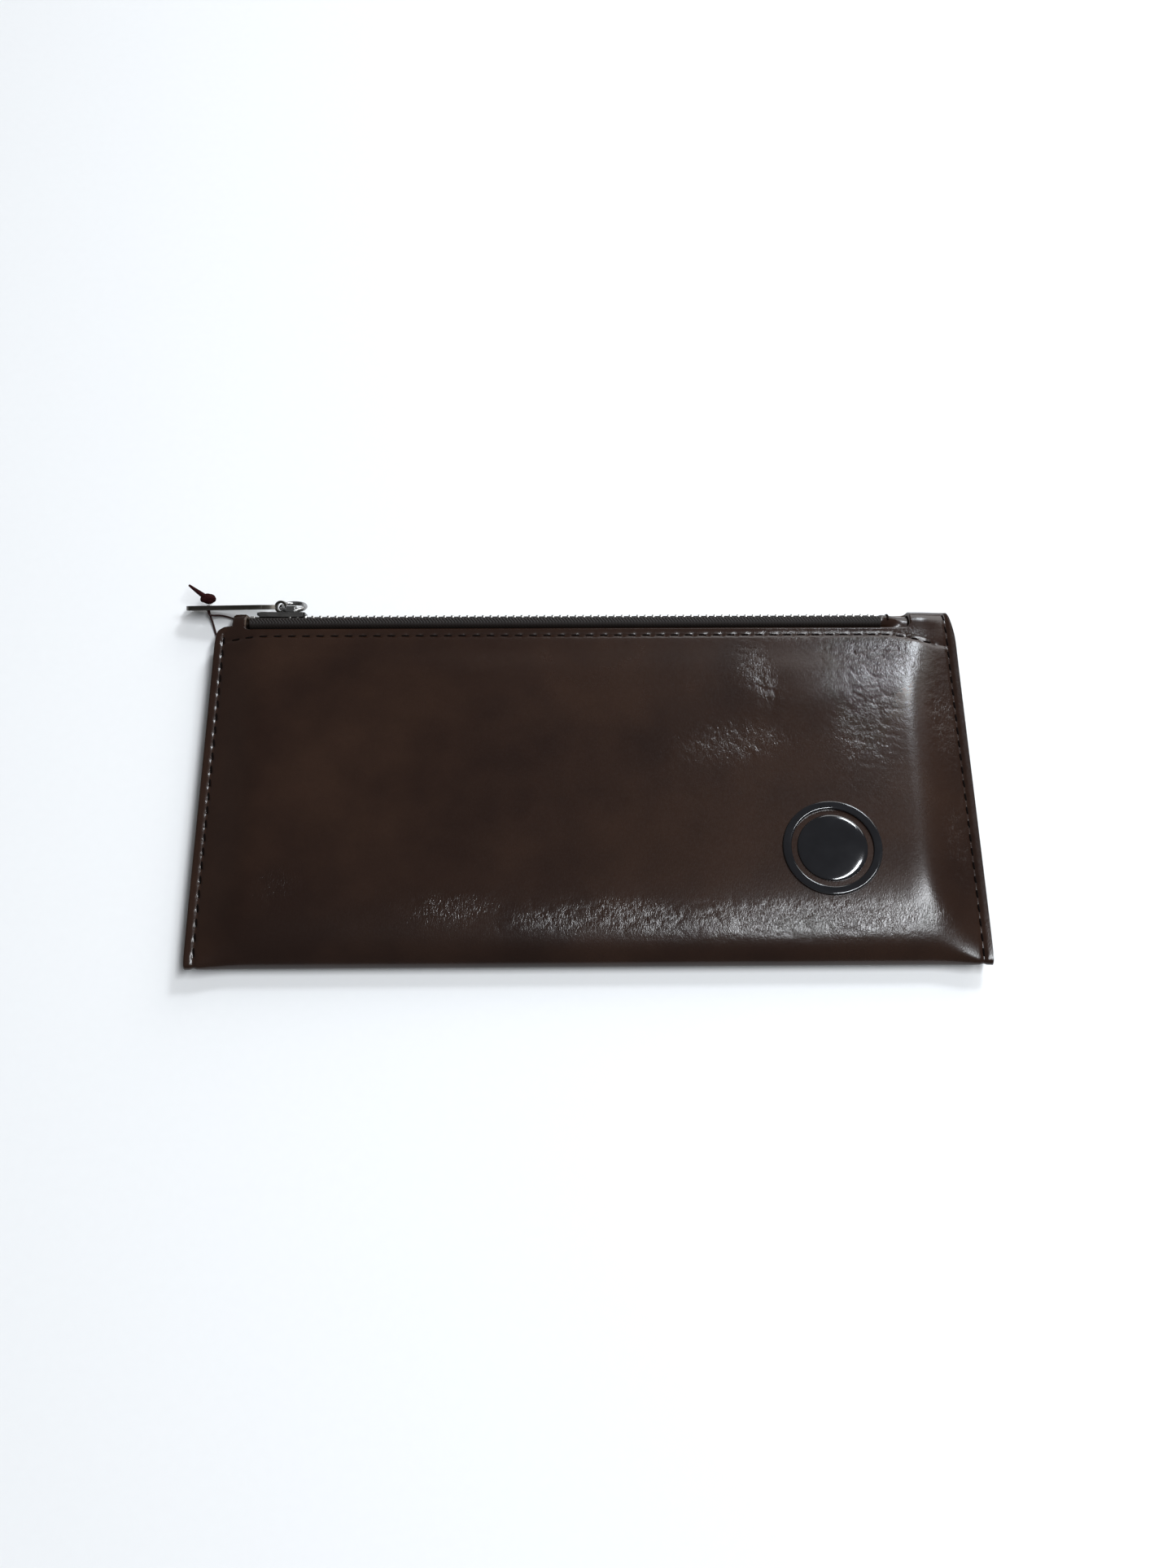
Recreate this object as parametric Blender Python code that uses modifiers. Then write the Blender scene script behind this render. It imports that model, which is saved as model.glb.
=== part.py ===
"""Zippered leather pouch, lying on its back with the zip closed.

+X runs along the zip, +Y points at the zip edge, +Z is up, and the back of the pouch is at Z = 0.
Lengths in this file are millimetres. They become metres where a mesh or a curve is made.
"""

import math

import bmesh
import bpy
from mathutils import Matrix, Vector

MM = 0.001

# Outer leather: one sheet, wrapped right round, its ends lapped inside the back
HALF_WIDTH = 100.5
LEATHER = 1.1
SEAM_FLAT = 2.8
SLOPE_START = 1.35
SLOPE_POWER = 2.2
NOTCH = (-96.1, 45.3)
BASE = LEATHER / 2

# Middle of the sheet, from the hidden flap, over the top fold, down the front, round the bottom and up the
# back: y and z half way along the pouch, y and z at its side seams, width of the slope, inset of the side
WRAP = (
    (38.5, 2.15, 38.5, 5.35, 13, 0.0),
    (42.5, 2.15, 42.5, 5.35, 13, 0.0),
    (46.0, 2.1, 46.0, 5.3, 9, 0.2),
    (49.2, 2.2, 48.5, 5.35, 8, 1.0),
    (49.9, 4.6, 49.3, 5.7, 8, 1.6),
    (49.0, 7.3, 49.2, 6.5, 8, 1.6),
    (46.8, 9.2, 47.4, 7.3, 8, 1.0),
    (43.8, 8.8, 44.0, 7.3, 9, 0.4),
    (41.0, 8.8, 41.0, 7.2, 10, 0.0),
    (36.0, 9.4, 36.0, 7.0, 12, 0.0),
    (26.0, 10.2, 26.0, 6.8, 14, 0.0),
    (10.0, 10.8, 10.0, 6.7, 15, 0.0),
    (-8.0, 10.9, -8.0, 6.6, 15, 0.0),
    (-24.0, 10.6, -24.0, 6.5, 15, 0.0),
    (-34.5, 10.1, -36.0, 6.4, 14, 0.0),
    (-41.5, 8.8, -45.0, 6.2, 12, 0.0),
    (-47.3, 6.6, -49.8, 5.9, 12, 0.0),
    (-50.8, 3.4, -50.7, 4.9, 12, 0.0),
    (-48.2, BASE, -49.8, 3.75, 12, 0.0),
    (-40.5, BASE, -43.5, 3.75, 12, 0.0),
    (-33.0, BASE, -36.0, 3.75, 12, 0.0),
    (0.0, BASE, 0.0, 3.75, 12, 0.0),
    (34.0, BASE, 34.0, 3.75, 12, 0.0),
    (41.0, BASE, 41.0, 3.75, 12, 0.0),
    (46.0, BASE, 46.0, 3.75, 12, 0.4),
    (49.8, 0.95, 49.5, 3.75, 12, 1.2),
)
FRONT_KEYS = (7.0, 15.0)
FLAP_KEYS = (0.0, 3.0)
SMALL_KEYS = range(3, 8)
SIDE_STEPS = (0.0, 1.2, 2.4, 3.8, 5.4, 7.2, 9.4, 12.2, 15.8, 20.5)
MIDDLE_STEPS = 12

# Slot for the zip
SLOT_X = (-92.5, 88.0)
SLOT_FRONT_Y = 43.6
SLOT_BACK_Z = 4.3
SLOT_CORNER = 1.6

# Zip chain: a straight line along X, its outer face turned this far above +Y
CHAIN = Vector((0.0, 47.5, 7.3))
CHAIN_TILT = math.radians(22)
CHAIN_X = (-81.2, 78.0)
TOOTH_PITCH = 2.1
TOOTH_WIDTH = 0.82
TOOTH_THICKNESS = 1.8
TOOTH_REACH = 0.45
SPINE = (0.7, 1.7)
TAPE = 0.45
TAPE_X = (-91.0, 79.2)
TAPE_EDGE = 1.95
TAPE_BEND = 3.45
TAPE_PAST_LIP = ((0.7, 9.55), (0.5, 8.9), (0.45, 7.9), (0.1, 7.3))
FRONT_TAPE_Y = (42.4, 41.0, 39.0, 37.0)
FLAP_TAPE_Y = (46.8, 45.4, 43.5, 41.0, 39.2)
FRONT_TAPE_GAP = 0.25
FLAP_TAPE_GAP = 0.2
STOP_X = (-91.2, -89.8)
BOTTOM_STOP_X = (78.2, 79.3)
STOP_HALF = 0.8

# Slider and its bail
SLIDER_X = (-89.3, -76.3)
PLATE = 0.65
CHAMBER = 1.12
SLIDER_WIDE = 2.9
SLIDER_NARROW = 2.6
FLANGE = 0.55
FLANGE_DEPTH = 0.66
POST = (3.0, 0.85)
BAIL_X = -80.3
BAIL_LENGTH = 2.6
BAIL_HALF = 2.0
BAIL_WIRE = 0.6
BAIL_RISE = 2.25
BAIL_STEPS = 8
BAIL_GAP = 0.06

# Ring, pull tab and the cord on it
RING_RADIUS = 3.25
RING_WIRE = 0.6
RING_DROOP = math.radians(-41)
RING_PIVOT = 2.55
TAB_LENGTH = 26.5
TAB_HALF = 3.5
TAB_THICKNESS = 1.2
TAB_BEVEL = 0.2
TAB_EYE = (1.75, 1.1, 0.7)
TAB_NECK = 2.9
TAB_CORNER = 2.6
TAB_HOLE = (20.7, 1.25)
TAB_DIRECTION = Vector((-24.0, 1.3, -2.75)).normalized()
TAB_ACROSS = Vector((0.0, -0.5, 0.87)).normalized()
CORD_RADIUS = 0.27
CORD_POINTS = 58
KNOT_PROFILE = (
    (0.0, -2.0), (1.2, -1.9), (2.0, -1.0), (2.15, 0.2), (1.75, 1.4), (1.0, 2.4), (0.65, 3.6), (0.0, 5.2)
)
KNOT_RISE = 2.95
KNOT_TAIL = (0.85, 0.1, 0.5)

# Sewing, lining, end tab and emblem
THREAD_RADIUS = 0.24
THREAD_GAP = 0.18
SIDE_ROW = 2.4
SIDE_ROW_END = 15.6
SIDE_ROW_STEPS = 23
FRONT_ROW_Y = 41.4
FRONT_ROW_INSET = 2.2
FRONT_ROW_STEPS = 39
BACK_ROW_Y = 42.5
LINING = 0.3
LINING_GAP = 0.15
LINING_EASE = 0.35
LINING_FOLD = 1.6
LINING_SPREAD = 0.6
LINING_INSET = 1.6
LINING_TOP_Y = 40.0
LINING_SHORT = 3.3
LINING_STEPS = 34
END_TAB_X = (79.6, 92.5)
END_TAB_SEAM_X = 82.0
END_TAB = 0.7
END_TAB_SINK = 7.6
END_TAB_PAST_LIP = ((-1.2, 7.3), (0.3, 7.4), (0.75, 8.6), (1.1, 9.5))
END_TAB_OVER_ZIP = (
    (-3.3, -0.4), (-2.7, 0.2), (-1.6, 0.35), (0.0, 0.4), (1.6, 0.35), (2.5, 0.1), (2.9, -0.6), (2.9, -1.2)
)
END_TAB_LAST_T = 2.6
END_TAB_THREAD_RISE = END_TAB / 2 + THREAD_GAP + THREAD_RADIUS
EMBLEM = (61.5, -22.0)
EMBLEM_RADII = (12.6, 10.4, 8.9)
EMBLEM_HEIGHT = 1.1
EMBLEM_GAP = 0.3


def clamp01(value):
    return min(1.0, max(0.0, value))


def smooth(value):
    value = clamp01(value)
    return value * value * (3 - 2 * value)


def new_material(name, color, roughness, metallic=0.0):
    material = bpy.data.materials.new(name)
    material.use_nodes = True
    shader = material.node_tree.nodes["Principled BSDF"]
    shader.inputs["Base Color"].default_value = (*color, 1.0)
    shader.inputs["Roughness"].default_value = roughness
    shader.inputs["Metallic"].default_value = metallic
    material.diffuse_color = (*color, 1.0)
    return material


def collection(name):
    made = bpy.data.collections.new(name)
    bpy.context.scene.collection.children.link(made)
    return made


def add_object(name, data, material, place=None, helper=False):
    """Links one object. Helpers go in a collection of their own, and don't render."""
    obj = bpy.data.objects.new(name, data)
    if helper:
        obj.hide_render = True
        obj.display_type = "WIRE"
        HELPERS.objects.link(obj)
    else:
        PARTS.objects.link(obj)
    if material:
        data.materials.append(material)
    if place is not None:
        obj.matrix_world = place
    return obj


def frame_at(origin, x_axis, y_axis, z_axis):
    """A placing matrix in metres, its columns the three axes and the origin."""
    matrix = Matrix((x_axis, y_axis, z_axis)).transposed().to_4x4()
    matrix.translation = Vector(origin) * MM
    return matrix


def chain_frame(x=0.0, out=0.0):
    """The zip's frame: X along it, Y across the face towards the back tape, Z out of the face."""
    face = Vector((0.0, math.cos(CHAIN_TILT), math.sin(CHAIN_TILT)))
    across = Vector((0.0, math.sin(CHAIN_TILT), -math.cos(CHAIN_TILT)))
    origin = Vector((x, CHAIN.y, CHAIN.z)) + face * out
    return frame_at(origin, Vector((1, 0, 0)), across, face)


def chain_point(across, out):
    """(y, z) of a point given across the chain's face and out of it."""
    point = chain_frame() @ (Vector((0.0, across, out)) * MM) / MM
    return point.y, point.z


def mesh_from(bm):
    bmesh.ops.recalc_face_normals(bm, faces=bm.faces)
    bmesh.ops.scale(bm, vec=(MM, MM, MM), verts=bm.verts)
    mesh = bpy.data.meshes.new("mesh")
    bm.to_mesh(mesh)
    bm.free()
    return mesh


def add_modifier(obj, kind, **settings):
    modifier = obj.modifiers.new(kind.title(), kind)
    for name, value in settings.items():
        setattr(modifier, name, value)
    return modifier


def shade_smooth(obj):
    for polygon in obj.data.polygons:
        polygon.use_smooth = True


def sheet(name, rows, thickness, material):
    """A sheet of one thickness, its middle lofted through rows of points."""
    bm = bmesh.new()
    grid = [[bm.verts.new(point) for point in row] for row in rows]
    for first, second in zip(grid, grid[1:]):
        for a, b, c, d in zip(first, second, second[1:], first[1:]):
            bm.faces.new((a, b, c, d))
    obj = add_object(name, mesh_from(bm), material)
    add_modifier(obj, "SOLIDIFY", thickness=thickness * MM, offset=0.0, use_even_offset=True)
    shade_smooth(obj)
    return obj


def slab(name, outline, low, high, material, place=None, helper=False):
    """A flat outline in X and Y, extruded from low to high along Z."""
    bm = bmesh.new()
    face = bm.faces.new([bm.verts.new((x, y, low)) for x, y in outline])
    raised = bmesh.ops.extrude_face_region(bm, geom=[face])["geom"]
    moved = [part for part in raised if isinstance(part, bmesh.types.BMVert)]
    bmesh.ops.translate(bm, verts=moved, vec=(0.0, 0.0, high - low))
    return add_object(name, mesh_from(bm), material, place, helper)


def box(name, low, high, material=None, place=None, helper=False):
    outline = ((low[0], low[1]), (high[0], low[1]), (high[0], high[1]), (low[0], high[1]))
    return slab(name, outline, low[2], high[2], material, place, helper)


def boolean(obj, other, operation):
    add_modifier(obj, "BOOLEAN", operation=operation, object=other, solver="EXACT")


def tube(name, points, radius, material, place=None):
    """A round wire through points, as a polyline with closed ends."""
    curve = bpy.data.curves.new(name, "CURVE")
    curve.dimensions = "3D"
    curve.bevel_depth = radius * MM
    curve.bevel_resolution = 2
    curve.use_fill_caps = True
    spline = curve.splines.new("POLY")
    spline.points.add(len(points) - 1)
    for target, point in zip(spline.points, points):
        target.co = (*(Vector(point) * MM), 1.0)
    spline.use_smooth = True
    return add_object(name, curve, material, place)


def b_spline(controls, t):
    """A point on the uniform cubic B-spline through the control points, t counted in controls."""
    last = len(controls) - 1
    step = min(int(t), last - 1)
    f = t - step
    weights = (
        (1 - f) ** 3 / 6,
        (3 * f**3 - 6 * f**2 + 4) / 6,
        (-3 * f**3 + 3 * f**2 + 3 * f + 1) / 6,
        f**3 / 6,
    )
    near = [controls[min(max(step + k - 1, 0), last)] for k in range(4)]
    return tuple(sum(w * c[axis] for w, c in zip(weights, near)) for axis in range(len(near[0])))


def wrap_controls(x):
    """The wrap's section at this station, as control points (x, y, z)."""
    from_side = HALF_WIDTH - abs(x)
    points = []
    for y_middle, z_middle, y_side, z_side, slope, inset in WRAP:
        up_slope = clamp01((from_side - SEAM_FLAT) / slope)
        full = 1 - (1 - up_slope**SLOPE_START) ** SLOPE_POWER
        y = y_side + (y_middle - y_side) * full
        z = z_side + (z_middle - z_side) * full
        pulled = inset * (abs(x) / HALF_WIDTH) ** 40
        points.append((x - math.copysign(pulled, x), y, z))
    return points


def wrap_point(x, t, inward=0.0):
    """A point on the sheet's middle, or moved off it towards the inside of the pouch."""
    controls = wrap_controls(x)
    point = Vector(b_spline(controls, t))
    if inward:
        last = len(controls) - 1
        before = Vector(b_spline(controls, max(t - 0.02, 0.0)))
        after = Vector(b_spline(controls, min(t + 0.02, last)))
        along = after - before
        point += Vector((0.0, -along.z, along.y)).normalized() * inward
    return point


def wrap_parameter(x, y, keys):
    """The t at which the sheet crosses y, between two controls where y only falls or only rises."""
    low, high = keys
    rising = wrap_point(x, high).y > wrap_point(x, low).y
    for _ in range(30):
        middle = (low + high) / 2
        if (wrap_point(x, middle).y < y) == rising:
            low = middle
        else:
            high = middle
    return (low + high) / 2


def stations():
    """Places along X, close together at the side seams."""
    reach = HALF_WIDTH - SIDE_STEPS[-1]
    middle = [-reach + 2 * reach * i / MIDDLE_STEPS for i in range(1, MIDDLE_STEPS)]
    left = [step - HALF_WIDTH for step in SIDE_STEPS]
    return left + middle + [-x for x in reversed(left)]


def stations_between(start, end):
    inside = [x for x in stations() if start + 1.0 < x < end - 1.0]
    return [start] + inside + [end]


def section_steps(first, last):
    """Values of t down a section, two to a span and four round the tight top fold."""
    steps = []
    for key in range(int(first), int(last)):
        parts = 4 if key in SMALL_KEYS else 2
        steps += [key + part / parts for part in range(parts)]
    return steps + [float(last)]


def leather_wrap():
    leather = new_material("outer_leather", (0.045, 0.022, 0.014), 0.28)
    steps = section_steps(0, len(WRAP) - 1)
    rows = [[wrap_point(x, t) for t in steps] for x in stations()]
    obj = sheet("leather_wrap", rows, LEATHER, leather)
    boolean(obj, slot_cutter(), "DIFFERENCE")
    right, near = NOTCH
    notch = box("notch_cutter", (-HALF_WIDTH - 5, near, -5), (right, near + 20, 20), helper=True)
    boolean(obj, notch, "DIFFERENCE")
    return obj


def slot_cutter():
    """Cuts the front lip upright and the back lip level, with rounded ends."""
    outline = (
        (SLOT_FRONT_Y, 6.2),
        (SLOT_FRONT_Y, 16.0),
        (56.0, 16.0),
        (56.0, SLOT_BACK_Z),
        (47.3, SLOT_BACK_Z),
    )
    place = frame_at((0, 0, 0), Vector((0, 1, 0)), Vector((0, 0, 1)), Vector((1, 0, 0)))
    cutter = slab("slot_cutter", outline, *SLOT_X, None, place, helper=True)
    add_modifier(
        cutter, "BEVEL", width=SLOT_CORNER * MM, segments=3, limit_method="ANGLE", use_clamp_overlap=True
    )
    return cutter


def lining():
    """A fabric bag, folded at the bottom, its top edges under the two tapes."""
    fabric = new_material("lining_fabric", (0.03, 0.025, 0.022), 0.9)
    rows = []
    for x in stations():
        x *= (HALF_WIDTH - LINING_INSET) / HALF_WIDTH
        top = wrap_parameter(x, LINING_TOP_Y, FRONT_KEYS)
        bottom = len(WRAP) - 1 - LINING_SHORT
        steps = [top + (bottom - top) * i / LINING_STEPS for i in range(LINING_STEPS + 1)]
        row = []
        for i, t in enumerate(steps):
            near_tape = max(smooth((6 - i) / 4), 0.0)
            room = smooth((HALF_WIDTH - abs(x) - SEAM_FLAT) / 6)
            inward = (LEATHER + LINING) / 2 + LINING_GAP + (LINING_EASE + LINING_SPREAD * near_tape) * room
            point = wrap_point(x, t, inward)
            point.y += LINING_FOLD * (1 - room) * smooth((-point.y - 44) / 6)
            row.append(point)
        rows.append(row)
    return sheet("lining", rows, LINING, fabric)


def tape_rows(side, tucked):
    """The visible bend of a tape beside the chain, then the part tucked in under the leather."""
    bend = TAPE_BEND
    turned = [
        (side * TAPE_EDGE, 0.0),
        (side * (bend - 0.7), 0.0),
        (side * (bend - 0.15), -0.15),
        (side * bend, -0.7),
        (side * (bend + 0.05), -1.6),
    ]
    near = [chain_point(across, out) for across, out in turned]
    return [[(x, y, z) for y, z in near] + [tuple(p) for p in tucked(x)] for x in stations_between(*TAPE_X)]


def under_front(x):
    """The front tape passes down over the lip's cut edge and on under the leather."""
    inward = (LEATHER + TAPE) / 2 + FRONT_TAPE_GAP
    points = [Vector((x, SLOT_FRONT_Y + beyond, z)) for beyond, z in TAPE_PAST_LIP]
    for y in FRONT_TAPE_Y:
        points.append(wrap_point(x, wrap_parameter(x, y, FRONT_KEYS), inward))
    return points


def over_flap(x):
    """The back tape lies on the hidden flap."""
    inward = (LEATHER + TAPE) / 2 + FLAP_TAPE_GAP
    return [wrap_point(x, wrap_parameter(x, y, FLAP_KEYS), inward) for y in FLAP_TAPE_Y]


def zip_tapes():
    twill = new_material("front_tape_twill", (0.025, 0.02, 0.018), 0.85)
    sheet("front_tape", tape_rows(-1, under_front), TAPE, twill)
    twill = new_material("back_tape_twill", (0.025, 0.02, 0.018), 0.85)
    sheet("back_tape", tape_rows(1, over_flap), TAPE, twill)


def comb(name, side, offset, material):
    """One row of teeth on its bead: a comb outline, as thick as the teeth."""
    start, end = CHAIN_X
    inner, outer = SPINE
    outline = [(start, side * outer), (start, side * inner)]
    x = start + offset
    while x + TOOTH_WIDTH < end:
        outline += [
            (x, side * inner),
            (x + 0.1, -side * TOOTH_REACH),
            (x + TOOTH_WIDTH - 0.1, -side * TOOTH_REACH),
            (x + TOOTH_WIDTH, side * inner),
        ]
        x += TOOTH_PITCH
    outline += [(end, side * inner), (end, side * outer)]
    half = TOOTH_THICKNESS / 2
    return slab(name, outline, -half, half, material, chain_frame())


def zip_chain():
    metal = new_material("front_teeth_metal", (0.35, 0.33, 0.3), 0.35, 1.0)
    comb("front_teeth", -1, 0.3, metal)
    metal = new_material("back_teeth_metal", (0.35, 0.33, 0.3), 0.35, 1.0)
    comb("back_teeth", 1, 0.3 + TOOTH_PITCH / 2, metal)
    for name, side in (("top_stop_front", -1), ("top_stop_back", 1)):
        metal = new_material(name + "_metal", (0.35, 0.33, 0.3), 0.35, 1.0)
        low, high = sorted((side * 0.35, side * (SPINE[1] + 0.1)))
        box(name, (STOP_X[0], low, -STOP_HALF), (STOP_X[1], high, STOP_HALF), metal, chain_frame())
    metal = new_material("bottom_stop_metal", (0.35, 0.33, 0.3), 0.35, 1.0)
    low = (BOTTOM_STOP_X[0], -SPINE[1], -STOP_HALF)
    high = (BOTTOM_STOP_X[1], SPINE[1], STOP_HALF)
    box("bottom_stop", low, high, metal, chain_frame())


def slider_outline(inset=0.0):
    """Plate outline about its middle: wide shoulders at the left, narrower where the chain leaves."""
    half_length = (SLIDER_X[1] - SLIDER_X[0]) / 2
    wide, narrow = SLIDER_WIDE - inset, SLIDER_NARROW - inset
    upper = [
        (half_length, narrow - 0.6),
        (half_length - 0.6, narrow),
        (0.5, narrow),
        (-2.0, wide),
        (-half_length + 1.2, wide),
        (-half_length, wide - 1.2),
    ]
    return upper + [(x, -y) for x, y in reversed(upper)]


def slider():
    metal = new_material("slider_metal", (0.28, 0.27, 0.27), 0.22, 1.0)
    middle = (SLIDER_X[0] + SLIDER_X[1]) / 2
    place = chain_frame(middle)
    shell = CHAMBER + PLATE
    gap = CHAMBER - FLANGE_DEPTH
    body = slab("slider_body", slider_outline(), -shell, shell, metal, place)
    inner = slider_outline(FLANGE)
    hollow = [(x * 1.3, y) for x, y in inner]
    boolean(body, slab("chamber_cutter", hollow, -CHAMBER, CHAMBER, None, place, True), "DIFFERENCE")
    boolean(body, box("tape_gap_cutter", (-9, -5, -gap), (9, 5, gap), None, place, True), "DIFFERENCE")
    start = SLIDER_X[0] - middle + 0.5
    length, half = POST
    post = ((start, -half), (start, half), (start + length, 0.15), (start + length, -0.15))
    boolean(body, slab("post", post, -CHAMBER - 0.3, CHAMBER + 0.3, None, place, True), "UNION")
    bail()


def bail():
    """A strap bent over the plate, open along X, for the ring's wire."""
    metal = new_material("bail_metal", (0.45, 0.45, 0.46), 0.18, 1.0)
    foot = CHAMBER + PLATE + BAIL_GAP
    straight = foot + BAIL_RISE - BAIL_HALF
    arcs = []
    for radius in (BAIL_HALF, BAIL_HALF - BAIL_WIRE):
        angles = [math.pi * i / BAIL_STEPS for i in range(BAIL_STEPS + 1)]
        arc = [(radius * math.cos(a), straight + radius * math.sin(a)) for a in angles]
        arcs.append([(radius, foot)] + arc + [(-radius, foot)])
    outline = arcs[0] + arcs[1][::-1]
    base = chain_frame(BAIL_X)
    turn = Matrix(((0, 0, 1, 0), (1, 0, 0, 0), (0, 1, 0, 0), (0, 0, 0, 1)))
    slab("slider_bail", outline, -BAIL_LENGTH / 2, BAIL_LENGTH / 2, metal, base @ turn)


def ring_pivot():
    y, z = chain_point(0.0, RING_PIVOT)
    return Vector((BAIL_X, y, z))


def droop():
    return Vector((0.0, math.cos(RING_DROOP), math.sin(RING_DROOP)))


def pull_ring():
    metal = new_material("ring_metal", (0.4, 0.4, 0.41), 0.2, 1.0)
    out = droop()
    x_axis = Vector((1, 0, 0))
    bpy.ops.mesh.primitive_torus_add(
        major_radius=RING_RADIUS * MM,
        minor_radius=RING_WIRE * MM,
        major_segments=32,
        minor_segments=8,
    )
    ring = bpy.context.object
    ring.name = "pull_ring"
    ring.data.transform(Matrix.Translation((0.0, RING_RADIUS * MM, 0.0)))
    ring.data.materials.append(metal)
    for owner in list(ring.users_collection):
        owner.objects.unlink(ring)
    PARTS.objects.link(ring)
    ring.matrix_world = frame_at(ring_pivot(), x_axis, out, x_axis.cross(out))
    shade_smooth(ring)
    return ring


def tab_pivot():
    return ring_pivot() + droop() * RING_RADIUS - Vector((RING_RADIUS, 0, 0))


def tab_frame():
    """X along the tab to its tip, Y across it (upwards), Z out of its outer face."""
    along = TAB_DIRECTION
    across = (TAB_ACROSS - along * TAB_ACROSS.dot(along)).normalized()
    out = along.cross(across)
    return frame_at(tab_pivot(), along, across, out)


def pull_tab():
    metal = new_material("tab_metal", (0.16, 0.145, 0.125), 0.3, 1.0)
    place = tab_frame()
    neck = TAB_NECK
    half = TAB_HALF
    outline = [(1.3, -1.1), (neck, -1.6), (neck + 1.6, -half + 0.3), (neck + 3.0, -half)]
    corner = TAB_CORNER
    for step in range(7):
        angle = math.pi / 2 * step / 6 - math.pi / 2
        x = TAB_LENGTH - corner + corner * math.cos(angle)
        outline.append((x, -half + corner + corner * math.sin(angle)))
    outline += [(x, -y) for x, y in reversed(outline)]
    thick = TAB_THICKNESS / 2
    tab = slab("pull_tab", outline, -thick, thick, metal, place)
    outer, inner, eye_half = TAB_EYE
    turn = place @ Matrix.Rotation(math.pi / 2, 4, "X")
    boolean(tab, rod("eye", outer, eye_half, turn), "UNION")
    boolean(tab, rod("eye_cutter", inner, eye_half + 2, turn), "DIFFERENCE")
    at, radius = TAB_HOLE
    boolean(tab, rod("hole_cutter", radius, 3, place @ Matrix.Translation((at * MM, 0, 0))), "DIFFERENCE")
    softening = {"width": TAB_BEVEL * MM, "segments": 1}
    add_modifier(tab, "BEVEL", limit_method="ANGLE", angle_limit=math.radians(50), **softening)
    return tab


def rod(name, radius, half_length, place):
    bm = bmesh.new()
    bmesh.ops.create_cone(
        bm, cap_ends=True, segments=24, radius1=radius, radius2=radius, depth=2 * half_length
    )
    return add_object(name, mesh_from(bm), None, place, helper=True)


def cord_route():
    """The loop: knot, through the hole, down to the surface, under the pouch's corner, and back up."""
    place = tab_frame()
    hole = TAB_HOLE[0]

    def at_tab(along, across, out):
        return place @ (Vector((along, across, out)) * MM) / MM

    out = TAB_THICKNESS / 2
    return [
        at_tab(hole, -0.5, out + 0.35),
        at_tab(hole, -0.5, 0.0),
        at_tab(hole, -0.55, -out - 0.6),
        at_tab(hole - 0.3, -0.8, -out - 2.0),
        Vector((-103.0, 50.0, 0.9)),
        Vector((-102.3, 47.4, 0.5)),
        Vector((-101.2, 45.0, 0.4)),
        Vector((-99.4, 43.4, 0.38)),
        Vector((-97.2, 43.2, 0.38)),
        Vector((-95.4, 44.5, 0.38)),
        Vector((-94.6, 47.0, 0.38)),
        Vector((-94.8, 49.6, 0.4)),
        Vector((-96.2, 51.4, 0.55)),
        Vector((-98.6, 52.0, 1.1)),
        Vector((-101.0, 52.2, 2.2)),
        at_tab(hole - 0.6, 0.6, -out - 1.6),
        at_tab(hole, 0.5, -out - 0.5),
        at_tab(hole, 0.5, 0.0),
        at_tab(hole, 0.5, out + 0.35),
    ]


def cord():
    fibre = new_material("cord_fibre", (0.03, 0.018, 0.016), 0.8)
    route = [tuple(point) for point in cord_route()]
    last = len(route) - 1
    points = [b_spline(route, last * i / (CORD_POINTS - 1)) for i in range(CORD_POINTS)]
    tube("cord_loop", points, CORD_RADIUS, fibre)
    knot()


def knot():
    """A tight knot on the tab's outer face, turned as one profile, with its cut end pointing away."""
    fibre = new_material("knot_fibre", (0.035, 0.012, 0.012), 0.75)
    place = tab_frame()
    centre = place @ (Vector((TAB_HOLE[0], 0.0, TAB_THICKNESS / 2 + KNOT_RISE)) * MM) / MM
    tail = (place.to_3x3() @ Vector(KNOT_TAIL)).normalized()
    side = tail.cross(Vector((1, 0, 0))).normalized()
    lathe("cord_knot", KNOT_PROFILE, fibre, frame_at(centre, side, tail.cross(side), tail), 14)


def thread_over(name, places):
    """A line of thread just above the leather: places are (x, t) pairs."""
    fibre = new_material(name + "_fibre", (0.02, 0.012, 0.01), 0.6)
    outward = LEATHER / 2 + THREAD_GAP + THREAD_RADIUS
    return tube(name, [wrap_point(x, t, -outward) for x, t in places], THREAD_RADIUS, fibre)


def threads():
    seam_x = HALF_WIDTH - SIDE_ROW
    for name, x, top_y in (("left_seam_thread", -seam_x, 42.6), ("right_seam_thread", seam_x, 43.2)):
        start = wrap_parameter(x, top_y, FRONT_KEYS)
        run = SIDE_ROW_END - start
        thread_over(name, [(x, start + run * i / SIDE_ROW_STEPS) for i in range(SIDE_ROW_STEPS + 1)])
    inside = seam_x - FRONT_ROW_INSET
    places = []
    for i in range(FRONT_ROW_STEPS + 1):
        x = -inside * math.cos(math.pi * i / FRONT_ROW_STEPS)
        places.append((x, wrap_parameter(x, FRONT_ROW_Y, FRONT_KEYS)))
    thread_over("front_row_thread", places)
    back_row_thread()


def back_row_thread():
    """The row that closes the wrap, where it shows: on the back tape, inside the pouch."""
    fibre = new_material("back_row_thread_fibre", (0.02, 0.012, 0.01), 0.6)
    inward = LEATHER / 2 + FLAP_TAPE_GAP + TAPE + LINING_GAP + THREAD_RADIUS
    points = []
    for i in range(SIDE_ROW_STEPS + 1):
        x = TAPE_X[0] + (TAPE_X[1] - TAPE_X[0]) * i / SIDE_ROW_STEPS
        points.append(wrap_point(x, wrap_parameter(x, BACK_ROW_Y, FLAP_KEYS), inward))
    tube("back_row_thread", points, THREAD_RADIUS, fibre)


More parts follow.
